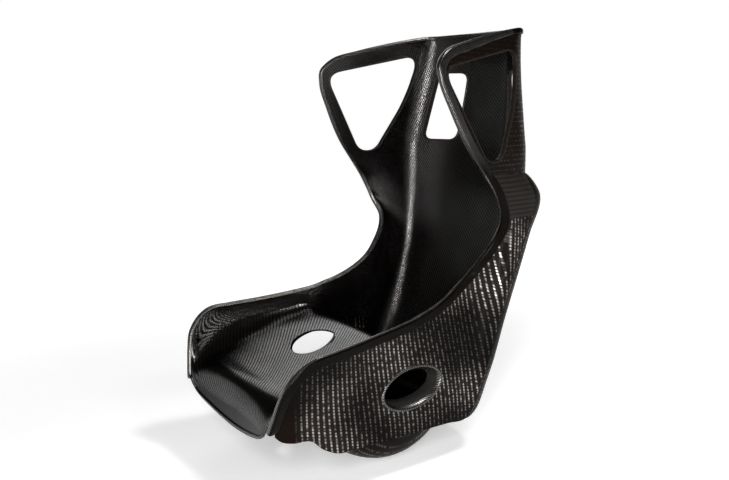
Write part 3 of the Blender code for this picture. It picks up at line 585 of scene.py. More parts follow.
@dataclass(frozen=True)
class Twill(Finish):
    """Fine twill under clear resin."""

    name: str = "fine_twill"
    tow: float = 0.0023
    lit: Colour = (0.082, 0.079, 0.077)       # tow that faces the light
    unlit: Colour = (0.0010, 0.0006, 0.0004)
    rough: Pair = (0.21, 0.16)                # in the dips and on the tows
    relief: float = 0.00035                   # height of a tow
    resin: Resin = Resin(0.03, 0.06, 0.04)
    cloud: Mottle = Mottle((11.0, 8.0), (0.35, 0.68), 0.55, 2.0)
    grain: Mottle = Mottle((520.0, 300.0), (0.30, 0.66), 0.30)
    stray: float = 1.3                        # tows over which the weave strays
    stray_scale: Pair = (210.0, 210.0)
    painted_pan_light: float = 1.7                    # painted light: how much brighter the tows are painted on the pan than behind it
    pan_end: Pair = (0.03, 0.10)              # Y over which the pan ends
    painted_lip_shade: float = 0.06                   # painted shade: how dark the tows are painted where the lip turns down
    lip_top: Pair = (0.130, 0.160)            # Z over which it turns
    painted_middle_shade: float = 0.42                # painted shade: how dark the tows are painted down the middle of the back
    middle_half: Pair = (0.085, 0.145)        # X over which that middle ends

    def dress(self) -> Weave:
        """Tows, the clouds that drape brings to them, painted light on the pan, painted shade on the lip and
        down the middle of the back, and the resin over them.
        """
        g = Weave(self.name)
        u, v = g.cloth()
        x, y, z = g.place()
        drift = g.drift(u, v, self.stray_scale, self.stray * self.tow)
        over, height = g.twill(g.plus(u, drift), g.minus(v, drift), self.tow)
        # painted shade down the middle of the back, behind the pan
        middle = g.ramp(g.maths("ABSOLUTE", x), *self.middle_half, self.painted_middle_shade, 1.0)
        middle = g.maths("MAXIMUM", g.ramp(y, *self.pan_end, 1.0, 0.0), middle)
        # painted light: the tows are painted brighter on the pan
        pan = g.ramp(y, *self.pan_end, self.painted_pan_light, 1.0)
        # painted shade: the tows are painted dark where the lip turns down
        lip = g.ramp(z, *self.lip_top, self.painted_lip_shade, 1.0)
        share = g.times(over, pan, lip, middle, self.cloud.over(g, u, v), self.grain.over(g, u, v))
        g.fibre(share, self.unlit, self.lit, g.ramp(height, 0.0, 1.0, *self.rough), self.resin,
                g.bump(height, self.relief, 0.20))
        return g


@dataclass(frozen=True)
class Cloth(Finish):
    """Coarse cloth whose heavy tows lie in rows of short dashes."""

    name: str = "coarse_cloth"
    row: float = 0.0113                       # from one row to the next
    dash: float = 0.0067                      # from one dash to the next
    fill: float = 0.40                        # part of a row that its dashes fill
    stagger: float = 0.37                     # step of the dashes from row to row
    slant: float = 0.55                       # and across one row
    wave: tuple = (0.40, 0.95, 0.02, 1.0)     # how a dash swells from its ends
    weft: float = 0.02                        # how much of the dark cross tows shows
    # bright lit dashes, as on the sides; the other mouldings take darker copies: painted light and shade of one
    # cloth
    lit: Colour = (0.500, 0.475, 0.450)
    unlit: Colour = (0.0012, 0.0008, 0.0006)
    brown: Colour = (0.0048, 0.0024, 0.0012)  # resin over dark cloth
    rough: Pair = (0.42, 0.32)                # between the dashes and on them
    relief: float = 0.0006                    # height of a dash
    resin: Resin = Resin(0.02, 0.08, 0.03)
    cloud_low: float = 0.10                   # how dark the clouds go
    stray: float = 0.004                      # span over which the rows stray
    plain_to: float = -9.0                    # the rows begin behind this coordinate
    plain_fade: float = 0.03
    painted_shade_above: float = 9.0                      # above this height the cloth is painted dull, its faint rows running the other way: painted shade of the same cloth
    turn_fade: float = 0.004
    turned_row: float = 0.0094
    painted_dim_share: float = 0.035

    def dress(self) -> Weave:
        """Rows, dashes, clouds, painted shade above a given height, and resin."""
        g = Weave(self.name)
        u, v = g.cloth()
        row = g.maths("DIVIDE", g.plus(u, g.drift(u, v, (14.0, 5.0), self.stray)), self.row)
        part = g.maths("FRACT", row)
        shift = g.plus(g.times(g.maths("FLOOR", row), self.stagger), g.times(part, self.slant))
        dash = g.plus(g.maths("DIVIDE", v, self.dash), shift)
        spark = Mottle((0.8 / self.row, 0.8 / self.dash), (0.38, 0.58), 0.06).over(g, u, v)
        across = g.hump(g.ramp(part, 0.0, self.fill))
        dashes = g.times(across, g.ramp(g.wave(dash), *self.wave), spark)
        weft = g.times(g.wave(g.times(dash, 2.0)), self.weft)
        cloud = Mottle((5.0, 7.0), (0.36, 0.64), self.cloud_low).over(g, u, v)
        plain = g.ramp(u, self.plain_to, self.plain_to + self.plain_fade)
        # painted light and shade: lit dashes below the given height, only faint rows across above it
        below = g.ramp(v, self.painted_shade_above - self.turn_fade, self.painted_shade_above + self.turn_fade, 1.0, 0.0)
        above = g.times(g.minus(1.0, below), g.wave(g.maths("DIVIDE", v, self.turned_row)), self.painted_dim_share)
        kept = g.times(cloud, plain, below)
        share = g.plus(g.times(g.plus(dashes, weft), kept), above)
        height = g.maths("MAXIMUM", dashes, weft)
        g.fibre(share, g.blend(cloud, self.unlit, self.brown), self.lit, g.ramp(height, 0.0, 1.0, *self.rough),
                self.resin, g.bump(g.times(height, kept), self.relief, 0.5))
        return g


@dataclass(frozen=True)
class Tape(Finish):
    """Edge tape: rope-like twill over the roll, its strands painted bright as a highlight along the edge, and
    plain dark resin on the flange.
    """

    name: str = "edge_tape"
    rope: float = 0.0052                      # from one strand to the next
    lay: float = 1.0                          # how much the strands cross the strip
    wrap: float = 0.45                        # how much they follow it
    roll_to: float = 0.0150                   # length round the roll where the flange begins
    fade: float = 0.004                       # length over which the strands end there
    # lit strands over the roll: painted highlight along the rolled edge
    lit: Colour = (0.200, 0.190, 0.180)
    unlit: Colour = (0.0016, 0.0011, 0.0008)
    flange: Colour = (0.0020, 0.0012, 0.0008)
    bare_to: float = -9.0                     # below this height only the crest shows strands
    bare_fade: float = 0.10
    crest: Pair = (0.011, 0.015)              # length round the roll over which the crest ends
    rough: Pair = (0.34, 0.24)                # of the dull grain and of the bright
    relief: float = 0.0004                    # height of a strand
    resin: Resin = Resin(0.03, 0.07, 0.04)
    grain: Mottle = Mottle((60.0, 500.0), (0.2, 0.8), 0.7)

    def dress(self) -> Weave:
        """Strands over the roll, and the flange below them."""
        g = Weave(self.name)
        u, v = g.cloth()
        slant = g.plus(g.times(u, self.lay), g.times(v, self.wrap))
        strand = g.wave(g.maths("DIVIDE", slant, self.rope))
        grain = self.grain.over(g, u, v)
        bare = g.ramp(g.place()[2], self.bare_to, self.bare_to + self.bare_fade)
        roll = g.times(g.ramp(v, self.roll_to - self.fade, self.roll_to, 1.0, 0.0),
                       g.maths("MAXIMUM", g.ramp(v, *self.crest, 1.0, 0.0), bare))
        share = g.times(g.ramp(strand, 0.35, 0.95), grain, roll)
        g.fibre(share, g.blend(roll, self.flange, self.unlit), self.lit,
                g.ramp(grain, self.grain.least, 1.0, *self.rough), self.resin,
                g.bump(g.times(strand, roll), self.relief, 0.6))
        return g


@dataclass(frozen=True)
class Alloy(Finish):
    """Turned and tumbled aluminium of the inserts."""

    name: str = "insert_alloy"
    light: Colour = (0.62, 0.62, 0.64)
    dark: Colour = (0.5084, 0.5084, 0.5248)
    rough: Pair = (0.34, 0.48)

    def dress(self) -> Weave:
        """Fine tool marks with a little variation in tone."""
        g = Weave(self.name)
        x, y, _ = g.place()
        marks = g.noise(x, y, (60.0, 2200.0), 2.0)
        g.set(Base_Color=g.blend(marks, self.dark, self.light), Metallic=1.0,
              Roughness=g.ramp(marks, 0.3, 0.7, *self.rough), Normal=g.bump(marks, 0.00008, 0.5))
        return g


# ------------------------------------------------------------------ the loft
@dataclass
class SeatLoft:
    """Rows of the seat's inner surface, and the frames along its rim."""

    rows_per_station: int = 8
    floor_cols: int = 14
    fillet_cols: int = 12
    wall_cols: int = 12
    roll_width: float = 0.0130        # width of the rolled rim
    flange_thick: float = 0.0018
    flange_gap: float = 0.0009
    flange_depth: float = 0.0130
    bond: float = 0.0004
    # Plane of the head wings at the crest of their rim: x = wing_x - wing_back y - wing_tilt z
    wing_x: float = 0.3738
    wing_back: float = 0.1610
    wing_tilt: float = 0.1871
    plane_from: int = 19              # the wings are flat from this station up
    flare_from: int = 13              # from here the back flares out until it meets that plane
    pillar_half: float = 0.070        # half width of the flat pillar behind the head
    pillar_soft: float = 0.10         # how softly it turns into the panels beside it
    pillar_from: float = 17.0         # the pillar shows from this station up, in full two above it
    fillet_limit: float = 0.42        # longest part of a wall or floor that a fillet takes
    fillet_pull: float = 0.6          # how tightly a fillet keeps to its corner
    # Stations: crest of the rim (x, y, z), knee (x, y, z), centre (y, z), fillet
    stations: tuple = (
        ((0.183, -0.270, 0.113), (0.150, -0.262, 0.090), (-0.247, 0.058), 0.020),   # 0 lip
        ((0.196, -0.265, 0.145), (0.172, -0.252, 0.136), (-0.245, 0.150), 0.018),   # 1 crease
        ((0.204, -0.260, 0.172), (0.178, -0.230, 0.152), (-0.227, 0.161), 0.022),
        ((0.216, -0.249, 0.208), (0.183, -0.195, 0.170), (-0.195, 0.163), 0.030),
        ((0.2285, -0.195, 0.2535), (0.182, -0.140, 0.193), (-0.130, 0.183), 0.035),  # 4 thigh
        ((0.2235, -0.148, 0.2580), (0.178, -0.105, 0.203), (-0.095, 0.195), 0.035),
        ((0.213, -0.090, 0.262), (0.174, -0.068, 0.213), (-0.055, 0.2095), 0.035),
        ((0.203, -0.035, 0.267), (0.170, -0.022, 0.221), (-0.008, 0.2210), 0.032),
        ((0.196, 0.012, 0.272), (0.166, 0.032, 0.226), (0.040, 0.2240), 0.028),      # 8 hump
        ((0.190, 0.050, 0.277), (0.161, 0.076, 0.205), (0.080, 0.198), 0.026),
        ((0.1865, 0.085, 0.286), (0.157, 0.107, 0.150), (0.106, 0.135), 0.028),
        ((0.183, 0.120, 0.296), (0.152, 0.129, 0.104), (0.128, 0.080), 0.032),
        ((0.1795, 0.155, 0.311), (0.148, 0.157, 0.088), (0.158, 0.052), 0.036),      # 12 bucket
        ((0.176, 0.191, 0.334), (0.147, 0.194, 0.108), (0.204, 0.063), 0.040),
        ((0.184, 0.236, 0.379), (0.156, 0.246, 0.180), (0.272, 0.120), 0.040),       # 14 waist
        ((0.204, 0.263, 0.432), (0.168, 0.308, 0.292), (0.338, 0.262), 0.036),
        ((0.232, 0.250, 0.480), (0.177, 0.352, 0.400), (0.374, 0.402), 0.034),
        ((0.238, 0.228, 0.523), (0.185, 0.360, 0.475), (0.390, 0.488), 0.034),       # 17 shoulder
        ((0.237, 0.200, 0.562), (0.193, 0.357, 0.555), (0.407, 0.562), 0.034),
        ((0.232, 0.160, 0.615), (0.195, 0.354, 0.613), (0.419, 0.618), 0.034),
        ((0.226, 0.120, 0.690), (0.182, 0.354, 0.685), (0.427, 0.695), 0.032),       # 20 wing
        ((0.218, 0.096, 0.750), (0.169, 0.357, 0.750), (0.429, 0.755), 0.032),
        ((0.212, 0.097, 0.784), (0.161, 0.361, 0.789), (0.428, 0.795), 0.030),
        ((0.203, 0.124, 0.808), (0.157, 0.364, 0.809), (0.4275, 0.819), 0.028),
        ((0.190, 0.185, 0.8265), (0.154, 0.367, 0.827), (0.427, 0.839), 0.026),
        ((0.173, 0.265, 0.8455), (0.150, 0.370, 0.843), (0.427, 0.852), 0.022),
        ((0.159, 0.338, 0.8595), (0.147, 0.373, 0.8575), (0.427, 0.8625), 0.012),     # 26 top
    )
    # Free edge of the side moulding, one point for each station from side_first on
    side_first: int = 1
    hem: tuple = (
        (0.1790, -0.252, 0.102), (0.184, -0.241, 0.091), (0.190, -0.220, 0.085), (0.196, -0.186, 0.083),
        (0.199, -0.158, 0.060), (0.202, -0.128, 0.046), (0.204, -0.085, 0.0455), (0.205, -0.035, 0.0450),
        (0.206, 0.010, 0.0450), (0.206, 0.050, 0.0445), (0.205, 0.095, 0.0435), (0.203, 0.145, 0.0420),
        (0.199, 0.198, 0.0385), (0.210, 0.234, 0.120), (0.219, 0.272, 0.250), (0.228, 0.328, 0.425),
        (0.230, 0.354, 0.512),
    )
    rear_foot: int = 13               # station whose hem point is the rear foot
    # The rim's flange hangs towards the hem, turned from it at these stations
    aim_shift: dict = field(default_factory=lambda: {
        0: (0.0, 0.070, 0.030), 1: (0.0, 0.070, 0.030), 2: (0.0, 0.070, 0.030),
        3: (0.0, 0.035, 0.015), 15: (-0.004, 0.058, 0.110)})

    def __post_init__(self) -> None:
        """Work out the rows, the rim's frames and the two faces of the shell."""
        per = self.rows_per_station
        self.wing_first = self.side_first + len(self.hem)
        wing = unit(np.array([1.0, self.wing_back, self.wing_tilt]))
        self.lead = self.wing_at(self.stations[self.plane_from][0]) - self.stations[self.plane_from][0][0]
        flat = []
        for k, (rim, knee, centre, fillet) in enumerate(self.stations):
            if k < self.plane_from:
                widths = (rim[0] + self.flare(k), knee[0] + self.flare(k))
            else:
                widths = (self.wing_at(rim), self.wing_at(knee) - self.roll_width / 2 / wing[0])
            flat.append(np.array([widths[0], *rim[1:], widths[1], *knee[1:], *centre, fillet]))
        self.edge_points = np.array(self.hem) + [(self.flare(self.side_first + j), 0.0, 0.0)
                                                 for j in range(len(self.hem))]
        rows = spline(flat, per)
        self.rim = rows[:, 0:3]
        self.knee = rows[:, 3:6]
        self.centre = np.stack([np.zeros(len(rows)), rows[:, 6], rows[:, 7]], -1)
        self.fillet = rows[:, 8]
        for points, inside in ((self.rim, 0.0), (self.knee, self.roll_width / 2)):
            part = points[self.plane_from * per:]
            part[:, 0] = self.wing_at(part.T) - inside / wing[0]
        self.along = unit(np.gradient(self.rim, axis=0))
        self.out = self.frame_out(wing)
        self.up = unit(np.cross(self.out, self.along))
        self.core = self.rim - self.up * self.roll_width / 2
        self.edge = self.core - self.out * self.roll_width / 2 - self.up * self.bond
        self.inside = self.surface()
        self.middle = self.inside.shape[1] // 2
        self.normal = self.shell_normals()
        self.corner = self.middle + self.floor_cols + round(self.fillet_cols * 2 / 3)

    def wing_at(self, point: tuple | Array) -> float | Array:
        """Half width of the wings' plane beside a point, or beside the columns of an array."""
        return self.wing_x - self.wing_back * point[1] - self.wing_tilt * point[2]

    def flare(self, k: int) -> float:
        """How far station k moves out so that the back runs into the plane of the wings."""
        return self.lead * float(smooth((k - self.flare_from) / (self.plane_from - self.flare_from)))

    def frame_out(self, wing: Array) -> Array:
        """Direction from the occupant outward, square to the rim, at each row."""
        per = self.rows_per_station
        aims = []
        for k in range(len(self.stations)):
            if k < self.wing_first:
                point = self.edge_points[max(k - self.side_first, 0)]
                aims.append(point + np.array(self.aim_shift.get(k, (0, 0, 0))))
            else:
                aims.append(self.knee[k * per])
        out = unit(np.cross(self.along, self.rim - spline(aims, per)))
        for i in range(self.wing_first * per, len(self.rim)):
            for _ in range(3):
                inside = self.knee[i] + out[i] * self.roll_width / 2
                out[i] = unit(np.cross(self.along[i], self.rim[i] - inside))
            turn = min((i / per - self.wing_first) / (self.plane_from - self.wing_first), 1.0)
            flat_out = unit(wing - self.along[i] * np.dot(wing, self.along[i]))
            out[i] = unit(out[i] * (1 - turn) + flat_out * turn)
        return out

    def bow(self, s: Array, i: int) -> Array:
        """How far the floor has left its centre line at part s of its width.

        Args:
            s: Part of the half width, from 0 to 1.
            i: Row of the loft.

        Returns:
            0 on the centre line and 1 at the knee: a bow below, and a flat pillar behind the head.
        """
        flat = self.pillar_half / self.knee[i, 0]

        def slope(t: Array) -> Array:
            """Rounded corner between the pillar and the panel beside it."""
            return (t - flat + np.sqrt((t - flat)**2 + self.pillar_soft**2)) / 2

        panel = (slope(s) - slope(np.zeros(1))) / (slope(np.ones(1)) - slope(np.zeros(1)))
        share = float(smooth((i / self.rows_per_station - self.pillar_from) / 2))
        return s * s * (1 - share) + panel * share

    def section(self, i: int) -> Array:
        """Half of row i, from the centre line to the edge under the roll."""
        knee, centre, edge = self.knee[i], self.centre[i], self.edge[i]
        s1 = 1 - min(self.fillet[i] / np.linalg.norm(knee - centre), self.fillet_limit)
        s2 = min(self.fillet[i] / np.linalg.norm(edge - knee), self.fillet_limit)
        s = np.linspace(0.0, s1, self.floor_cols + 1)
        tail = np.array((s1, s1 + 0.01))

        def floor(t: Array) -> Array:
            """Points of the floor at parts t of its half width."""
            bow = self.bow(t, i)[:, None]
            return centre + (knee - centre) * np.concatenate([t[:, None], bow, bow], axis=1)

        flat = floor(s)
        ahead = floor(tail)
        end = knee + (edge - knee) * s2
        t0 = unit(ahead[1] - ahead[0])
        t1 = unit(edge - knee)
        a = np.linalg.norm(knee - flat[-1]) * self.fillet_pull
        b = np.linalg.norm(end - knee) * self.fillet_pull
        turn = bezier(flat[-1], flat[-1] + t0 * a, end - t1 * b, end, self.fillet_cols)
        wall = end + (edge - end) * np.linspace(0.0, 1.0, self.wall_cols + 1)[1:, None]
        return np.concatenate([flat[:-1], turn, wall])

    def surface(self) -> Array:
        """Whole inner surface, rows by columns, right edge to left edge."""
        return np.array([both_sides(self.section(i)) for i in range(len(self.rim))])

    def shell_normals(self) -> Array:
        """Normals of the inner surface, away from the occupant, square to the rim at its edges."""
        grid = self.inside
        n = unit(np.cross(np.gradient(grid, axis=0), np.gradient(grid, axis=1)))
        first = self.wing_first * self.rows_per_station
        half = self.middle
        for side in (-1, 1):
            mirror = np.array((side, 1, 1))
            up = self.up[:first] * mirror
            for j in range(half - self.wall_cols // 2, half + 1):
                col = self.middle + side * j
                near = (j - half + self.wall_cols // 2) / (self.wall_cols // 2)
                rise = np.sum(n[:first, col] * up, axis=1, keepdims=True)
                n[:first, col] = unit(n[:first, col] - up * np.maximum(rise, 0.0) * near)
            wall = self.out[first:] * mirror
            floor = n[first:, self.middle + side * (self.floor_cols - 1)]
            for j in range(self.floor_cols, half + 1):
                turn = min((j - self.floor_cols + 0.5) / self.fillet_cols, 1.0)
                n[first:, self.middle + side * j] = unit(floor * (1 - turn) + wall * turn)
        return n

    def inside_tree(self) -> BVHTree:
        """Search tree of the inner surface."""
        return tree_of(self.inside)


def tree_of(grid: Array) -> BVHTree:
    """Search tree of a grid of points."""
    rows, cols = grid.shape[:2]
    quads = [(i * cols + j, i * cols + j + 1, (i + 1) * cols + j + 1, (i + 1) * cols + j)
             for i in range(rows - 1) for j in range(cols - 1)]
    return BVHTree.FromPolygons([Vector(p) for p in grid.reshape(-1, 3)], quads)


def reach(tree: BVHTree, start: Array, axis: Axis, fallback: float, way: int = 1) -> float:
    """Where a ray along an axis meets a surface.

    Args:
        tree: Search tree of the surface.
        start: Where the ray begins.
        axis: The axis along which it goes.
        fallback: The result for a ray that misses.
        way: 1 to go up the axis and -1 to go down it.

    Returns:
        The coordinate on that axis.
    """
    hit = tree.ray_cast(Vector(start), Vector(way * np.eye(3)[axis.value]))
    return hit[0][axis.value] if hit[0] is not None else fallback


# ------------------------------------------------------------------ openings
@dataclass
class Openings:
    """Outlines of the windows, the strap slot and the strap holes."""

    lead: float                       # how far the loft's flare moves the harness windows out
    wing: tuple = ((0.106, 0.771), (0.352, 0.822), (0.327, 0.712), (0.260, 0.588), (0.212, 0.588))   # (y, z)
    wing_round: tuple = (0.040, 0.045, 0.045, 0.023, 0.023)
    harness: tuple = ((0.066, 0.777), (0.131, 0.777), (0.171, 0.615), (0.087, 0.615))   # (x, z)
    harness_round: tuple = (0.022, 0.022, 0.020, 0.022)
    slot_y: float = -0.060
    slot_width: float = 0.104
    slot_length: float = 0.094
    hole_y: float = 0.050
    hole_z: float = 0.141
    hole_length: float = 0.148
    hole_height: float = 0.080
    hole_tilt: float = math.radians(6.0)
    strap_y: float = 0.150
    strap_z: float = 0.172
    strap_length: float = 0.080
    strap_height: float = 0.040
    side_walls: Pair = (0.10, 0.30)   # X between which a cutter goes through one side
    back_wall: Pair = (0.30, 0.50)    # Y between which one goes through the back

    def wing_outline(self) -> Array:
        """Outline of a wing window in (y, z)."""
        return rounded(self.wing, self.wing_round, 150)

    def harness_outline(self) -> Array:
        """Outline of a shoulder strap window in (x, z)."""
        return rounded(self.harness, self.harness_round, 120) + (self.lead, 0.0)

    def slot_outline(self) -> Array:
        """Outline of the crotch strap slot in (x, y)."""
        return ellipse(self.slot_width / 2, self.slot_length / 2, 72) + (0.0, self.slot_y)

    def hole_outline(self, grow: float = 0.0) -> Array:
        """Outline of a lap strap hole in (y, z), grown all round."""
        ring = ellipse(self.hole_length / 2 + grow, self.hole_height / 2 + grow, 96, self.hole_tilt)
        return ring + (self.hole_y, self.hole_z)

    def strap_outline(self) -> Array:
        """Outline of the lap strap opening in the inner moulding, in (y, z)."""
        return ellipse(self.strap_length / 2, self.strap_height / 2, 48) + (self.strap_y, self.strap_z)

    def through_side(self, outline: Array, side: int) -> Shape:
        """Cutter of an outline in (y, z) through the wall of one side."""
        return prism(outline, Axis.ACROSS, *sorted(side * x for x in self.side_walls))

    def windows(self, side: int) -> list[Shape]:
        """Cutters of the wing window and the shoulder strap window of one side."""
        return [self.through_side(self.wing_outline(), side),
                prism(self.harness_outline() * (side, 1), Axis.BACKWARD, *self.back_wall)]


# ------------------------------------------------------------------ mouldings
@dataclass
class InnerMoulding:
    """Pan, bucket, back and the inside of the head rest, in one laminate."""

    loft: SeatLoft
    openings: Openings
    finish: Finish = Twill()
    thick: float = 0.0035
    waist: int = 14                   # station from which the cloth's length counts
    pan_level: Pair = (0.12, 0.27)    # Z between which the slot's cutter goes through the pan

    def build(self) -> bpy.types.Object:
        """Make the moulding with its windows, slot and strap openings."""
        loft = self.loft
        start = self.waist * loft.rows_per_station
        coords = np.stack([arc(loft.inside, 1, loft.middle), arc(loft.inside, 0, start)], -1)
        obj = sheet(loft.inside, loft.normal, self.thick, coords).make("inner_moulding")
        cutters = [prism(self.openings.slot_outline(), Axis.DOWN, *self.pan_level)]
        for side in SIDES:
            wing, harness = self.openings.windows(side)
            cutters += [wing, self.openings.through_side(self.openings.strap_outline(), side), harness]
        cut(obj, cutters)
        return fit(obj, self.finish, Slot.TWILL, "inner_pan", "inner_back", "inner_head")


@dataclass
class HeadMoulding:
    """Outer moulding of the head rest and the wings."""

    loft: SeatLoft
    openings: Openings
    # head copy of the cloth with a darker lit colour: painted shade
    finish: Finish = Cloth(name="head_cloth", row=0.0098, dash=0.0060, lit=(0.024, 0.018, 0.014),
                           cloud_low=0.35)
    thick: float = 0.0030
    drape: Pair = (0.8, 0.3)          # how the cloth counts length backward and round the head

    def outer(self) -> Array:
        """Outer face, from the shoulder up."""
        loft = self.loft
        first = loft.wing_first * loft.rows_per_station
        depth = loft.roll_width - loft.flange_thick - loft.flange_gap
        return loft.inside[first:] + loft.normal[first:] * depth

    def build(self) -> bpy.types.Object:
        """Make the moulding with its windows."""
        loft = self.loft
        face = self.outer()
        n = loft.normal[loft.wing_first * loft.rows_per_station:]
        face[0] += unit(face[1] - face[0]) * loft.bond
        across = face[..., 1] * self.drape[0] + arc(face, 1, loft.middle) * self.drape[1]
        coords = np.stack([face[..., 2], across], -1)
        obj = sheet(face - n * self.thick, n, self.thick, coords).make("head_moulding")
        cut(obj, [window for side in SIDES for window in self.openings.windows(side)])
        return fit(obj, self.finish, Slot.TWILL, "head_skin")


@dataclass
class SideMoulding:
    """Outer moulding of one thigh and hip side, with its lap strap hole."""

    loft: SeatLoft
    openings: Openings
    side: int
    head_row: Array
    # painted shade: the side cloth is painted dull above 0.47 m
    finish: Finish = Cloth(name="side_cloth", plain_to=-0.205, painted_shade_above=0.470)
    thick: float = 0.0030
    flange_cols: int = 3
    cols: int = 26
    lean: float = 0.14                # slant of the cloth's rows
    drop: float = 0.003               # how far it hangs straight below the flange
    pull: Pair = (0.30, 0.38)         # how strongly it leaves the flange and comes to the hem
    splay: float = 0.10               # how far the hem leans outward
    turn: Pair = (-0.5, 1.5)          # stations from the rear foot, and how many, for the turn to the back

    def __post_init__(self) -> None:
        """Work out the outer face and the hem of the near side."""
        loft = self.loft
        per = loft.rows_per_station
        first = loft.side_first * per
        inset = loft.roll_width / 2 - loft.flange_thick - loft.flange_gap
        head = walk(self.head_row[loft.corner:][::-1], np.linspace(0.0, 1.0, self.flange_cols + self.cols + 1))
        self.hem = spline(list(loft.edge_points) + [head[-1]], per)
        rows = []
        for k, point in enumerate(self.hem):
            i = first + k
            up = loft.up[i]
            top = loft.core[i] + loft.out[i] * inset - up * loft.flange_gap
            under = top - up * (loft.flange_depth - loft.flange_gap)
            start = under - up * self.drop
            span = np.linalg.norm(point - start)
            rear = min(max((i / per - loft.rear_foot - self.turn[0]) / self.turn[1], 0.0), 1.0)
            way = unit(point - start)
            leave = self.pull[0] * max(float(np.dot(way, -up)), 0.0) ** 2
            arrive = unit(np.array([self.splay, 0.0, 1 - rear]) - rear * way) * self.pull[1]
            curve = bezier(start, start - up * leave * span, point + arrive * span, point, self.cols)
            band = top + (start - top) * np.linspace(0.0, 1.0, self.flange_cols + 1)[:-1, None]
            row = np.concatenate([band, curve])
            ease = float(smooth(i / per - (loft.wing_first - 1)))
            row[1:] = row[1:] * (1 - ease) + head[1:] * ease
            rows.append(row)
        self.face = np.array(rows)
        self.face[-1] -= unit(self.face[-1] - self.face[-2]) * loft.bond
        n = facing(np.gradient(self.face, axis=1), np.gradient(self.face, axis=0), self.cols // 2, 0)
        n[:, :self.flange_cols] = loft.out[first:first + len(n)][:, None]
        self.normal = n

    def build(self) -> bpy.types.Object:
        """Make the moulding with its lap strap hole."""
        face = mirrored(self.face, self.side)
        n = mirrored(self.normal, self.side)
        coords = np.stack([face[..., 1] + self.lean * face[..., 2], face[..., 2]], -1)
        name = SIDES[self.side]
        obj = sheet(face - n * self.thick, n, self.thick, coords).make("side_moulding_" + name)
        cut(obj, [self.openings.through_side(self.openings.hole_outline(), self.side)])
        return fit(obj, self.finish, Slot.CLOTH, "side_skin_" + name)


@dataclass
class BackMoulding:
    """Outer moulding of the back, between the rear corners of the sides."""

    loft: SeatLoft
    hem: Array
    head_row: Array
    # back copy with a darker lit colour, painted dull above 0.47 m: painted shade
    finish: Finish = Cloth(name="back_cloth", lit=(0.11, 0.10, 0.09), cloud_low=0.25, painted_shade_above=0.470)
    thick: float = 0.0030
    crown: float = 0.0735             # how far it bows out behind its edges
    steps: int = 22

    def build(self) -> bpy.types.Object:
        """Make the moulding."""
        loft = self.loft
        per = loft.rows_per_station
        s = crowded(self.steps, 1.6)
        head = walk(self.head_row[loft.middle:loft.corner + 1], s)
        rows = []
        for k in range((loft.rear_foot - loft.side_first) * per, len(self.hem)):
            x, y, z = self.hem[k]
            part = np.stack([x * s, y + loft.bond + self.crown * bowed(s), np.full_like(s, z)], -1)
            ease = float(smooth((k + loft.side_first * per) / per - (loft.wing_first - 1)))
            part = part * (1 - ease) + head * ease
            rows.append(both_sides(part))
        face = np.array(rows)
        face[-1] -= unit(face[-1] - face[-2]) * loft.bond
        n = facing(np.gradient(face, axis=0), np.gradient(face, axis=1), self.steps - 1, 1)
        coords = np.stack([arc(face, 1, self.steps - 1), face[..., 2]], -1)
        obj = sheet(face - n * self.thick, n, self.thick, coords).make("back_moulding")
        return fit(obj, self.finish, Slot.CLOTH, "back_skin")


@dataclass
class BottomMoulding:
    """Bottom of the shell: a flat border with the bulge under the bucket."""

    loft: SeatLoft
    openings: Openings
    hem: Array
    # bottom copy with a darker lit colour: painted shade
    finish: Finish = Cloth(name="bottom_cloth", lit=(0.08, 0.07, 0.06), cloud_low=0.3)
    thick: float = 0.0030
    crown: float = 0.0735
    level: float = 0.0490             # height of the flat border
    bulge: float = 0.084
    bulge_y: float = 0.040
    bulge_half: float = 0.145
    bulge_span: float = 0.97
    rise_y: float = -0.128            # from here forward the border climbs with the hem
    front_y: float = -0.232
    front_rows: int = 15              # rows in front of rise_y
    rear_rows: int = 50               # and behind it
    cols: int = 26
    close: float = 8.0                # how soon the rear edge closes on the back at its corners
    slot_level: Pair = (-0.10, 0.10)  # Z between which the slot's cutter goes through it

    def build(self) -> bpy.types.Object:
        """Make the moulding with its strap slot."""
        loft = self.loft
        stop = (loft.rear_foot - loft.side_first) * loft.rows_per_station
        hem = self.hem[:stop + 1]
        inset = self.thick + 2 * loft.bond
        s = crowded(self.cols, 1.35)
        low = np.interp(self.rise_y, hem[:, 1], hem[:, 2])
        depth = self.crown * bowed(s) - self.thick - loft.bond
        rear = hem[-1, 1] + depth * np.minimum(1.0, self.close * (1 - s))
        rows = []
        for v in np.concatenate([np.linspace(-1.0, 0.0, self.front_rows + 1)[:-1],
                                 np.linspace(0.0, 1.0, self.rear_rows)]):
            y = np.where(v > 0, self.rise_y + v * (rear - loft.bond - self.rise_y),
                         self.rise_y + v * (self.rise_y - self.front_y))
            width = np.interp(y, hem[:, 1], hem[:, 0]) - inset
            q = 1 - (s / self.bulge_span)**6 - ((y - self.bulge_y) / self.bulge_half)**2
            climb = np.where(y < self.rise_y, np.maximum(np.interp(y, hem[:, 1], hem[:, 2]) - low, 0.0), 0.0)
            half = np.stack([width * s, y, self.level - self.bulge * np.maximum(q, 0.0)**0.75 + climb], -1)
            rows.append(both_sides(half))
        face = np.array(rows)
        lift = np.zeros_like(face)
        lift[..., 2] = 1.0
        obj = sheet(face, lift, self.thick, face[..., :2].copy()).make("bottom_moulding")
        cut(obj, [prism(self.openings.slot_outline(), Axis.DOWN, *self.slot_level)])
        return fit(obj, self.finish, Slot.CLOTH, "belly_skin")


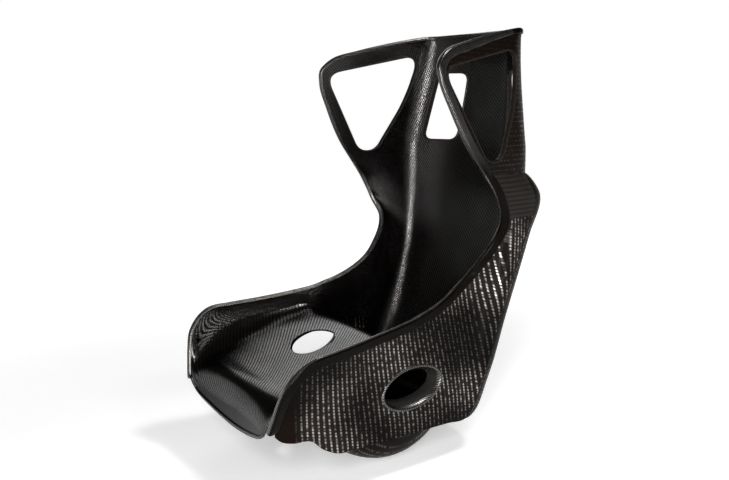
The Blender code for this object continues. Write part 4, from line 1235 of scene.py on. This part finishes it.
# ------------------------------------------------------------------ rim
@dataclass
class RimTape:
    """Rolled tape that caps the joint between the inner and the outer mouldings."""

    loft: SeatLoft
    finish: Finish = Tape()
    wing_finish: Finish = Tape(name="wing_tape", rope=0.0036, lay=0.10, wrap=1.0, roll_to=0.040,
                               lit=(0.10, 0.095, 0.09), bare_to=0.600)
    shell: float = 0.0035
    skin: float = 0.0030
    top_depth: float = 0.0055         # depth of the flange along the top of the head rest
    sides: int = 12
    chamfer: Pair = (0.0005, 0.0006)  # across and along the flange's lower edge

    def ring(self, core: Array, out: Array, up: Array, depth: float) -> Array:
        """Section of the tape: a half-round roll with a flange hanging on its outer side."""
        r = self.loft.roll_width / 2
        a = np.pi * (1 - np.linspace(0.0, 1.0, self.sides + 1))
        lip = self.loft.flange_thick
        profile = [(r * math.cos(t), r * math.sin(t)) for t in a]
        profile += [(r, self.chamfer[1] - depth), (r - self.chamfer[0], -depth),
                    (r - lip, -depth), (r - lip, 0.0),
                    (r - lip - self.loft.flange_gap - self.skin, 0.0), (self.shell - r, 0.0)]
        return np.array([core + out * o + up * w for o, w in profile])

    def strip(self, first: int, last: int, side: int, depth: tuple[float, float]) -> Array:
        """Rings of one strip.

        Args:
            first: Station where the strip begins.
            last: Station where it ends.
            side: 1 for the left side and -1 for the right.
            depth: Depth of the flange at the first station and at the last one.

        Returns:
            The rings.
        """
        loft = self.loft
        per = loft.rows_per_station
        rings = []
        for i in range(first * per, last * per + 1):
            left = min((last * per - i) / (2 * per), 1.0)
            hang = depth[0] * left + depth[1] * (1 - left)
            rings.append(mirrored(self.ring(loft.core[i], loft.out[i], loft.up[i], hang), side))
        return np.array(rings)

    def build(self) -> list[bpy.types.Object]:
        """Make the strips of the sides, of the wings, and along the top."""
        loft = self.loft
        last = len(loft.stations) - 1
        deep = loft.flange_depth
        pieces = []
        for side, tag in SIDES.items():
            low = bar(self.strip(0, loft.wing_first, side, (deep, deep))).make("side_tape_" + tag)
            pieces.append(fit(low, self.finish, Slot.TAPE, "edge_strip_" + tag))
            high = bar(self.strip(loft.wing_first, last, side, (deep, self.top_depth))).make("wing_tape_" + tag)
            pieces.append(fit(high, self.wing_finish, Slot.TAPE, "wing_edge_" + tag))
        row, out = loft.inside[-1], loft.normal[-1]
        along = unit(np.gradient(row, axis=0))
        up = unit(np.cross(along, out))
        core = row + out * loft.roll_width / 2 + up * loft.bond
        rings = [self.ring(core[j], out[j], up[j], self.top_depth) for j in range(len(row))]
        pieces.append(fit(bar(np.array(rings)).make("top_tape"), self.finish, Slot.TAPE, "top_edge"))
        return pieces


@dataclass
class LipBinding:
    """Folded band along the lower edge of the front lip."""

    loft: SeatLoft
    # brown tones of the band: painted reflection of warm surroundings
    finish: Finish = Tape(name="lip_band", lit=(0.020, 0.014, 0.010), unlit=(0.010, 0.0065, 0.0048),
                          flange=(0.010, 0.0065, 0.0048))
    thick: float = 0.0025
    height: float = 0.010
    start: float = 0.001              # from the edge of the lip up
    skip: int = 3                     # columns of the loft that it leaves free at each end

    def build(self) -> bpy.types.Object:
        """Make the band with rounded edges."""
        loft = self.loft
        cols = np.arange(self.skip, loft.inside.shape[1] - self.skip)
        base = loft.inside[0, cols] - loft.normal[0, cols] * loft.bond
        out = -loft.normal[0, cols]
        up = unit(loft.inside[1, cols] - loft.inside[0, cols])
        soft = self.thick * 0.4
        profile = ((0.0, self.start), (self.thick - soft, self.start), (self.thick, self.start + soft),
                   (self.thick, self.height - soft), (self.thick - soft, self.height), (0.0, self.height))
        rings = np.stack([base + out * a + up * b for a, b in profile], axis=1)
        return fit(bar(rings).make("lip_band"), self.finish, Slot.TAPE, "lip_binding")


# ------------------------------------------------------------------ windows and straps
@dataclass
class WindowLiner:
    """Liner that closes a window between the two mouldings, with a rounded lip on each face."""

    loft: SeatLoft
    tree: BVHTree
    outline: Array
    axis: Axis
    side: int
    node: str
    finish: Finish = Tape(name="liner_tape", rope=0.0040, roll_to=0.004, lit=(0.05, 0.045, 0.04),
                          flange=(0.012, 0.010, 0.008))
    thick: float = 0.0015
    lip: float = 0.0026
    proud: float = 0.0006
    seat: float = 0.001               # how far its back stays from both faces

    def place(self, ring: Array, depth: float) -> Array:
        """Points of a 2D ring, depth behind the inner surface, along the axis of the opening."""
        longer, fallback = (1.03, 0.2) if self.axis is Axis.ACROSS else (1.12, 0.4)
        points = np.insert(ring, self.axis.value, 0.0, axis=1)
        points[:, self.axis.value] = [reach(self.tree, p, self.axis, fallback) + depth * longer for p in points]
        return mirrored(points, self.side)

    def build(self) -> bpy.types.Object:
        """Make the liner."""
        n = outward(self.outline)
        d = self.loft.roll_width - self.loft.flange_thick - self.loft.flange_gap
        t, lip, p = self.thick, self.lip, self.proud
        front = ((lip, 0.0), (lip * 0.75, -p), (lip * 0.1, -p), (-t * 0.5, -p * 0.3), (-t, p * 2))
        rear = tuple((grow, d - depth) for grow, depth in reversed(front))
        profile = front + ((-t, d / 2),) + rear + ((0.0, d - self.seat), (0.0, self.seat))
        rings = np.stack([self.place(self.outline + n * grow, depth) for grow, depth in profile], axis=1)
        name = self.node.replace("liner", "window_liner")
        return fit(bar(rings, closed=True).make(name, LIP_SHARP), self.finish, Slot.TAPE, self.node)


@dataclass
class StrapFunnel:
    """Flared funnel bonded into a lap strap hole."""

    openings: Openings
    tree: BVHTree
    side: int
    finish: Finish = Tape(name="funnel_tape", rope=0.0050, roll_to=0.016, lit=(0.14, 0.135, 0.13),
                          flange=(0.018, 0.017, 0.016))
    depth: float = 0.030
    taper: float = 0.74
    wall: float = 0.0025
    lip: float = 0.0040
    edge: float = 0.001               # how far under the face the straight part begins
    clear: float = 0.5                # X outside the seat from which its face is looked for

    def ring(self, grow: float, rise: float) -> Array:
        """Ring of the funnel, rise outside the side moulding's face."""
        points = np.insert(self.openings.hole_outline(grow), 0, self.clear, axis=1)
        points[:, 0] = [reach(self.tree, p, Axis.ACROSS, 0.2, -1) + rise for p in points]
        return mirrored(points, self.side)

    def build(self) -> bpy.types.Object:
        """Make the funnel with a rounded lip."""
        shrink = self.openings.hole_height / 2 * (1 - self.taper)

        def wall(start: float, parts: Array) -> list[tuple[float, float]]:
            """Profile of one face of the cone, from its growth at the edge."""
            return [(start - shrink * (1 - (1 - t)**2), -self.edge - (self.depth - self.edge) * t)
                    for t in parts]

        lip = [(self.lip, 0.0), (self.lip * 0.8, 0.0010), (self.lip * 0.3, 0.0015), (-0.0006, 0.0010)]
        inside = wall(-0.0012 - self.wall * 0.4, np.linspace(0.0, 1.0, 12))
        outside = wall(-0.0004, np.linspace(1.0, 0.0, 6))
        rings = np.stack([self.ring(grow, rise) for grow, rise in lip + inside + outside], axis=1)
        name = SIDES[self.side]
        obj = bar(rings, closed=True).make("lap_strap_funnel_" + name, LIP_SHARP)
        return fit(obj, self.finish, Slot.TAPE, "belt_funnel_" + name)


@dataclass
class InsertBlocks:
    """Alloy blocks bonded inside the hem, which keep their own solids."""

    nodes: tuple = ("mount_block_front_left", "mount_block_front_right",
                    "mount_block_rear_left", "mount_block_rear_right")
    finish: Finish = Alloy()

    def build(self) -> None:
        """Give each block its finish."""
        for name in self.nodes:
            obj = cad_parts[name]
            for slot in obj.material_slots:
                slot.material = self.finish.material()
            log.info("%s: kept", name)


# ------------------------------------------------------------------ studio
@dataclass
class Lamp:
    """One rectangular soft lamp."""

    name: str
    place: tuple[float, float, float]
    aim: tuple[float, float, float]
    size: Pair
    power: float

    def build(self) -> None:
        """Make the lamp."""
        data = bpy.data.lights.new(self.name, "AREA")
        data.shape = "RECTANGLE"
        data.size, data.size_y = self.size
        data.energy = self.power
        obj = bpy.data.objects.new(self.name, data)
        bpy.context.collection.objects.link(obj)
        obj.visible_camera = False
        obj.location = self.place
        obj.rotation_euler = (Vector(self.aim) - Vector(self.place)).to_track_quat("-Z", "Y").to_euler()


@dataclass
class Studio:
    """Camera, pale floor, white surroundings and soft lamps."""

    camera_place: tuple[float, float, float] = (1.40995, -0.99147, 0.74687)
    camera_down: float = 9.926        # degrees below the horizontal
    camera_turn: float = 55.2         # degrees from the seat's front towards its left
    lens: float = 39.506
    floor_size: float = 60.0
    floor_level: float = -0.0005      # just under the seat's lowest point
    floor_paint: Colour = (0.86, 0.86, 0.86)
    glow_near: float = 0.40           # how much of the floor's white is left under the seat
    glow_reach: Pair = (0.6, 2.6)     # distances over which it comes to the full
    ambient: float = 0.12
    horizon: Pair = (0.125, 0.27)     # height of the view over which the white fades
    ceiling: float = 0.05             # how much of the white is left overhead
    lamps: tuple[Lamp, ...] = (
        Lamp("strip_front", (1.70, -1.45, 0.92), (-0.1, 0.3, 0.92), (0.09, 1.8), 64.0),
        Lamp("strip_left", (2.6, 0.1, 1.1), (0.0, 0.1, 0.45), (0.10, 2.0), 12.0),
        Lamp("overhead", (0.7, 0.9, 3.0), (0.0, 0.0, 0.3), (0.5, 0.5), 34.0),
        Lamp("rear_right", (-2.0, 0.8, 1.7), (0.0, 0.0, 0.3), (1.8, 1.6), 17.0),
    )

    def build(self) -> None:
        """Make the whole studio."""
        self.make_camera()
        self.make_floor()
        self.make_world()
        for lamp in self.lamps:
            lamp.build()
        bpy.context.scene.view_settings.view_transform = "Standard"

    def make_camera(self) -> None:
        """Make the camera at the photograph's angle."""
        data = bpy.data.cameras.new("camera")
        data.lens = self.lens
        data.sensor_width = 36.0
        data.clip_end = 200.0
        obj = bpy.data.objects.new("camera", data)
        bpy.context.collection.objects.link(obj)
        obj.location = self.camera_place
        obj.rotation_euler = (math.radians(90.0 - self.camera_down), 0.0, math.radians(self.camera_turn))
        bpy.context.scene.camera = obj

    def make_floor(self) -> None:
        """Make the pale floor, which shows white and keeps the seat's shadow."""
        bm = bmesh.new()
        half = self.floor_size / 2
        corners = ((-half, -half), (half, -half), (half, half), (-half, half))
        bm.faces.new([bm.verts.new((x, y, self.floor_level)) for x, y in corners])
        mesh = bpy.data.meshes.new("floor")
        bm.to_mesh(mesh)
        bm.free()
        obj = bpy.data.objects.new("floor", mesh)
        bpy.context.collection.objects.link(obj)
        g = Weave("floor_paint")
        x, y, _ = g.place()
        far = g.maths("SQRT", g.plus(g.times(x, x), g.times(y, y)))
        glow = g.ramp(far, *self.glow_reach, self.glow_near, 1.0)
        g.set(Base_Color=self.floor_paint, Roughness=0.9, Specular_IOR_Level=0.0,
              Emission_Color=WHITE, Emission_Strength=g.times(g.seen(), glow))
        mesh.materials.append(g.material)

    def make_world(self) -> None:
        """Make surroundings that show white and light the seat softly."""
        world = bpy.data.worlds.new("surroundings")
        bpy.context.scene.world = world
        world.use_nodes = True
        g = Nodes(world.node_tree)
        level = g.maths("MULTIPLY_ADD", g.seen(), 1.0 - self.ambient, self.ambient)
        fade = g.ramp(g.place("Generated")[2], *self.horizon, 1.0, self.ceiling)
        light = world.node_tree.nodes["Background"]
        g.put(light.inputs[0], WHITE)
        g.put(light.inputs[1], g.times(level, fade))


# ------------------------------------------------------------------ assembly
def main() -> None:
    """Build the seat piece by piece, then the studio around it."""
    logging.basicConfig(level=logging.INFO, format="%(name)s: %(message)s")
    loft = SeatLoft()
    openings = Openings(loft.lead)
    InnerMoulding(loft, openings).build()
    head = HeadMoulding(loft, openings)
    lower = head.outer()[0]
    head.build()
    near = SideMoulding(loft, openings, 1, lower)
    near.build()
    SideMoulding(loft, openings, -1, lower).build()
    BackMoulding(loft, near.hem, lower).build()
    BottomMoulding(loft, openings, near.hem).build()
    RimTape(loft).build()
    LipBinding(loft).build()
    inside = loft.inside_tree()
    outside = tree_of(near.face)
    windows = ((openings.wing_outline(), Axis.ACROSS, "wing_liner_"),
               (openings.harness_outline(), Axis.BACKWARD, "harness_liner_"))
    for side, tag in SIDES.items():
        for outline, axis, name in windows:
            WindowLiner(loft, inside, outline, axis, side, name + tag).build()
        StrapFunnel(openings, outside, side).build()
    InsertBlocks().build()
    Studio().build()


if __name__ == "__main__":
    main()
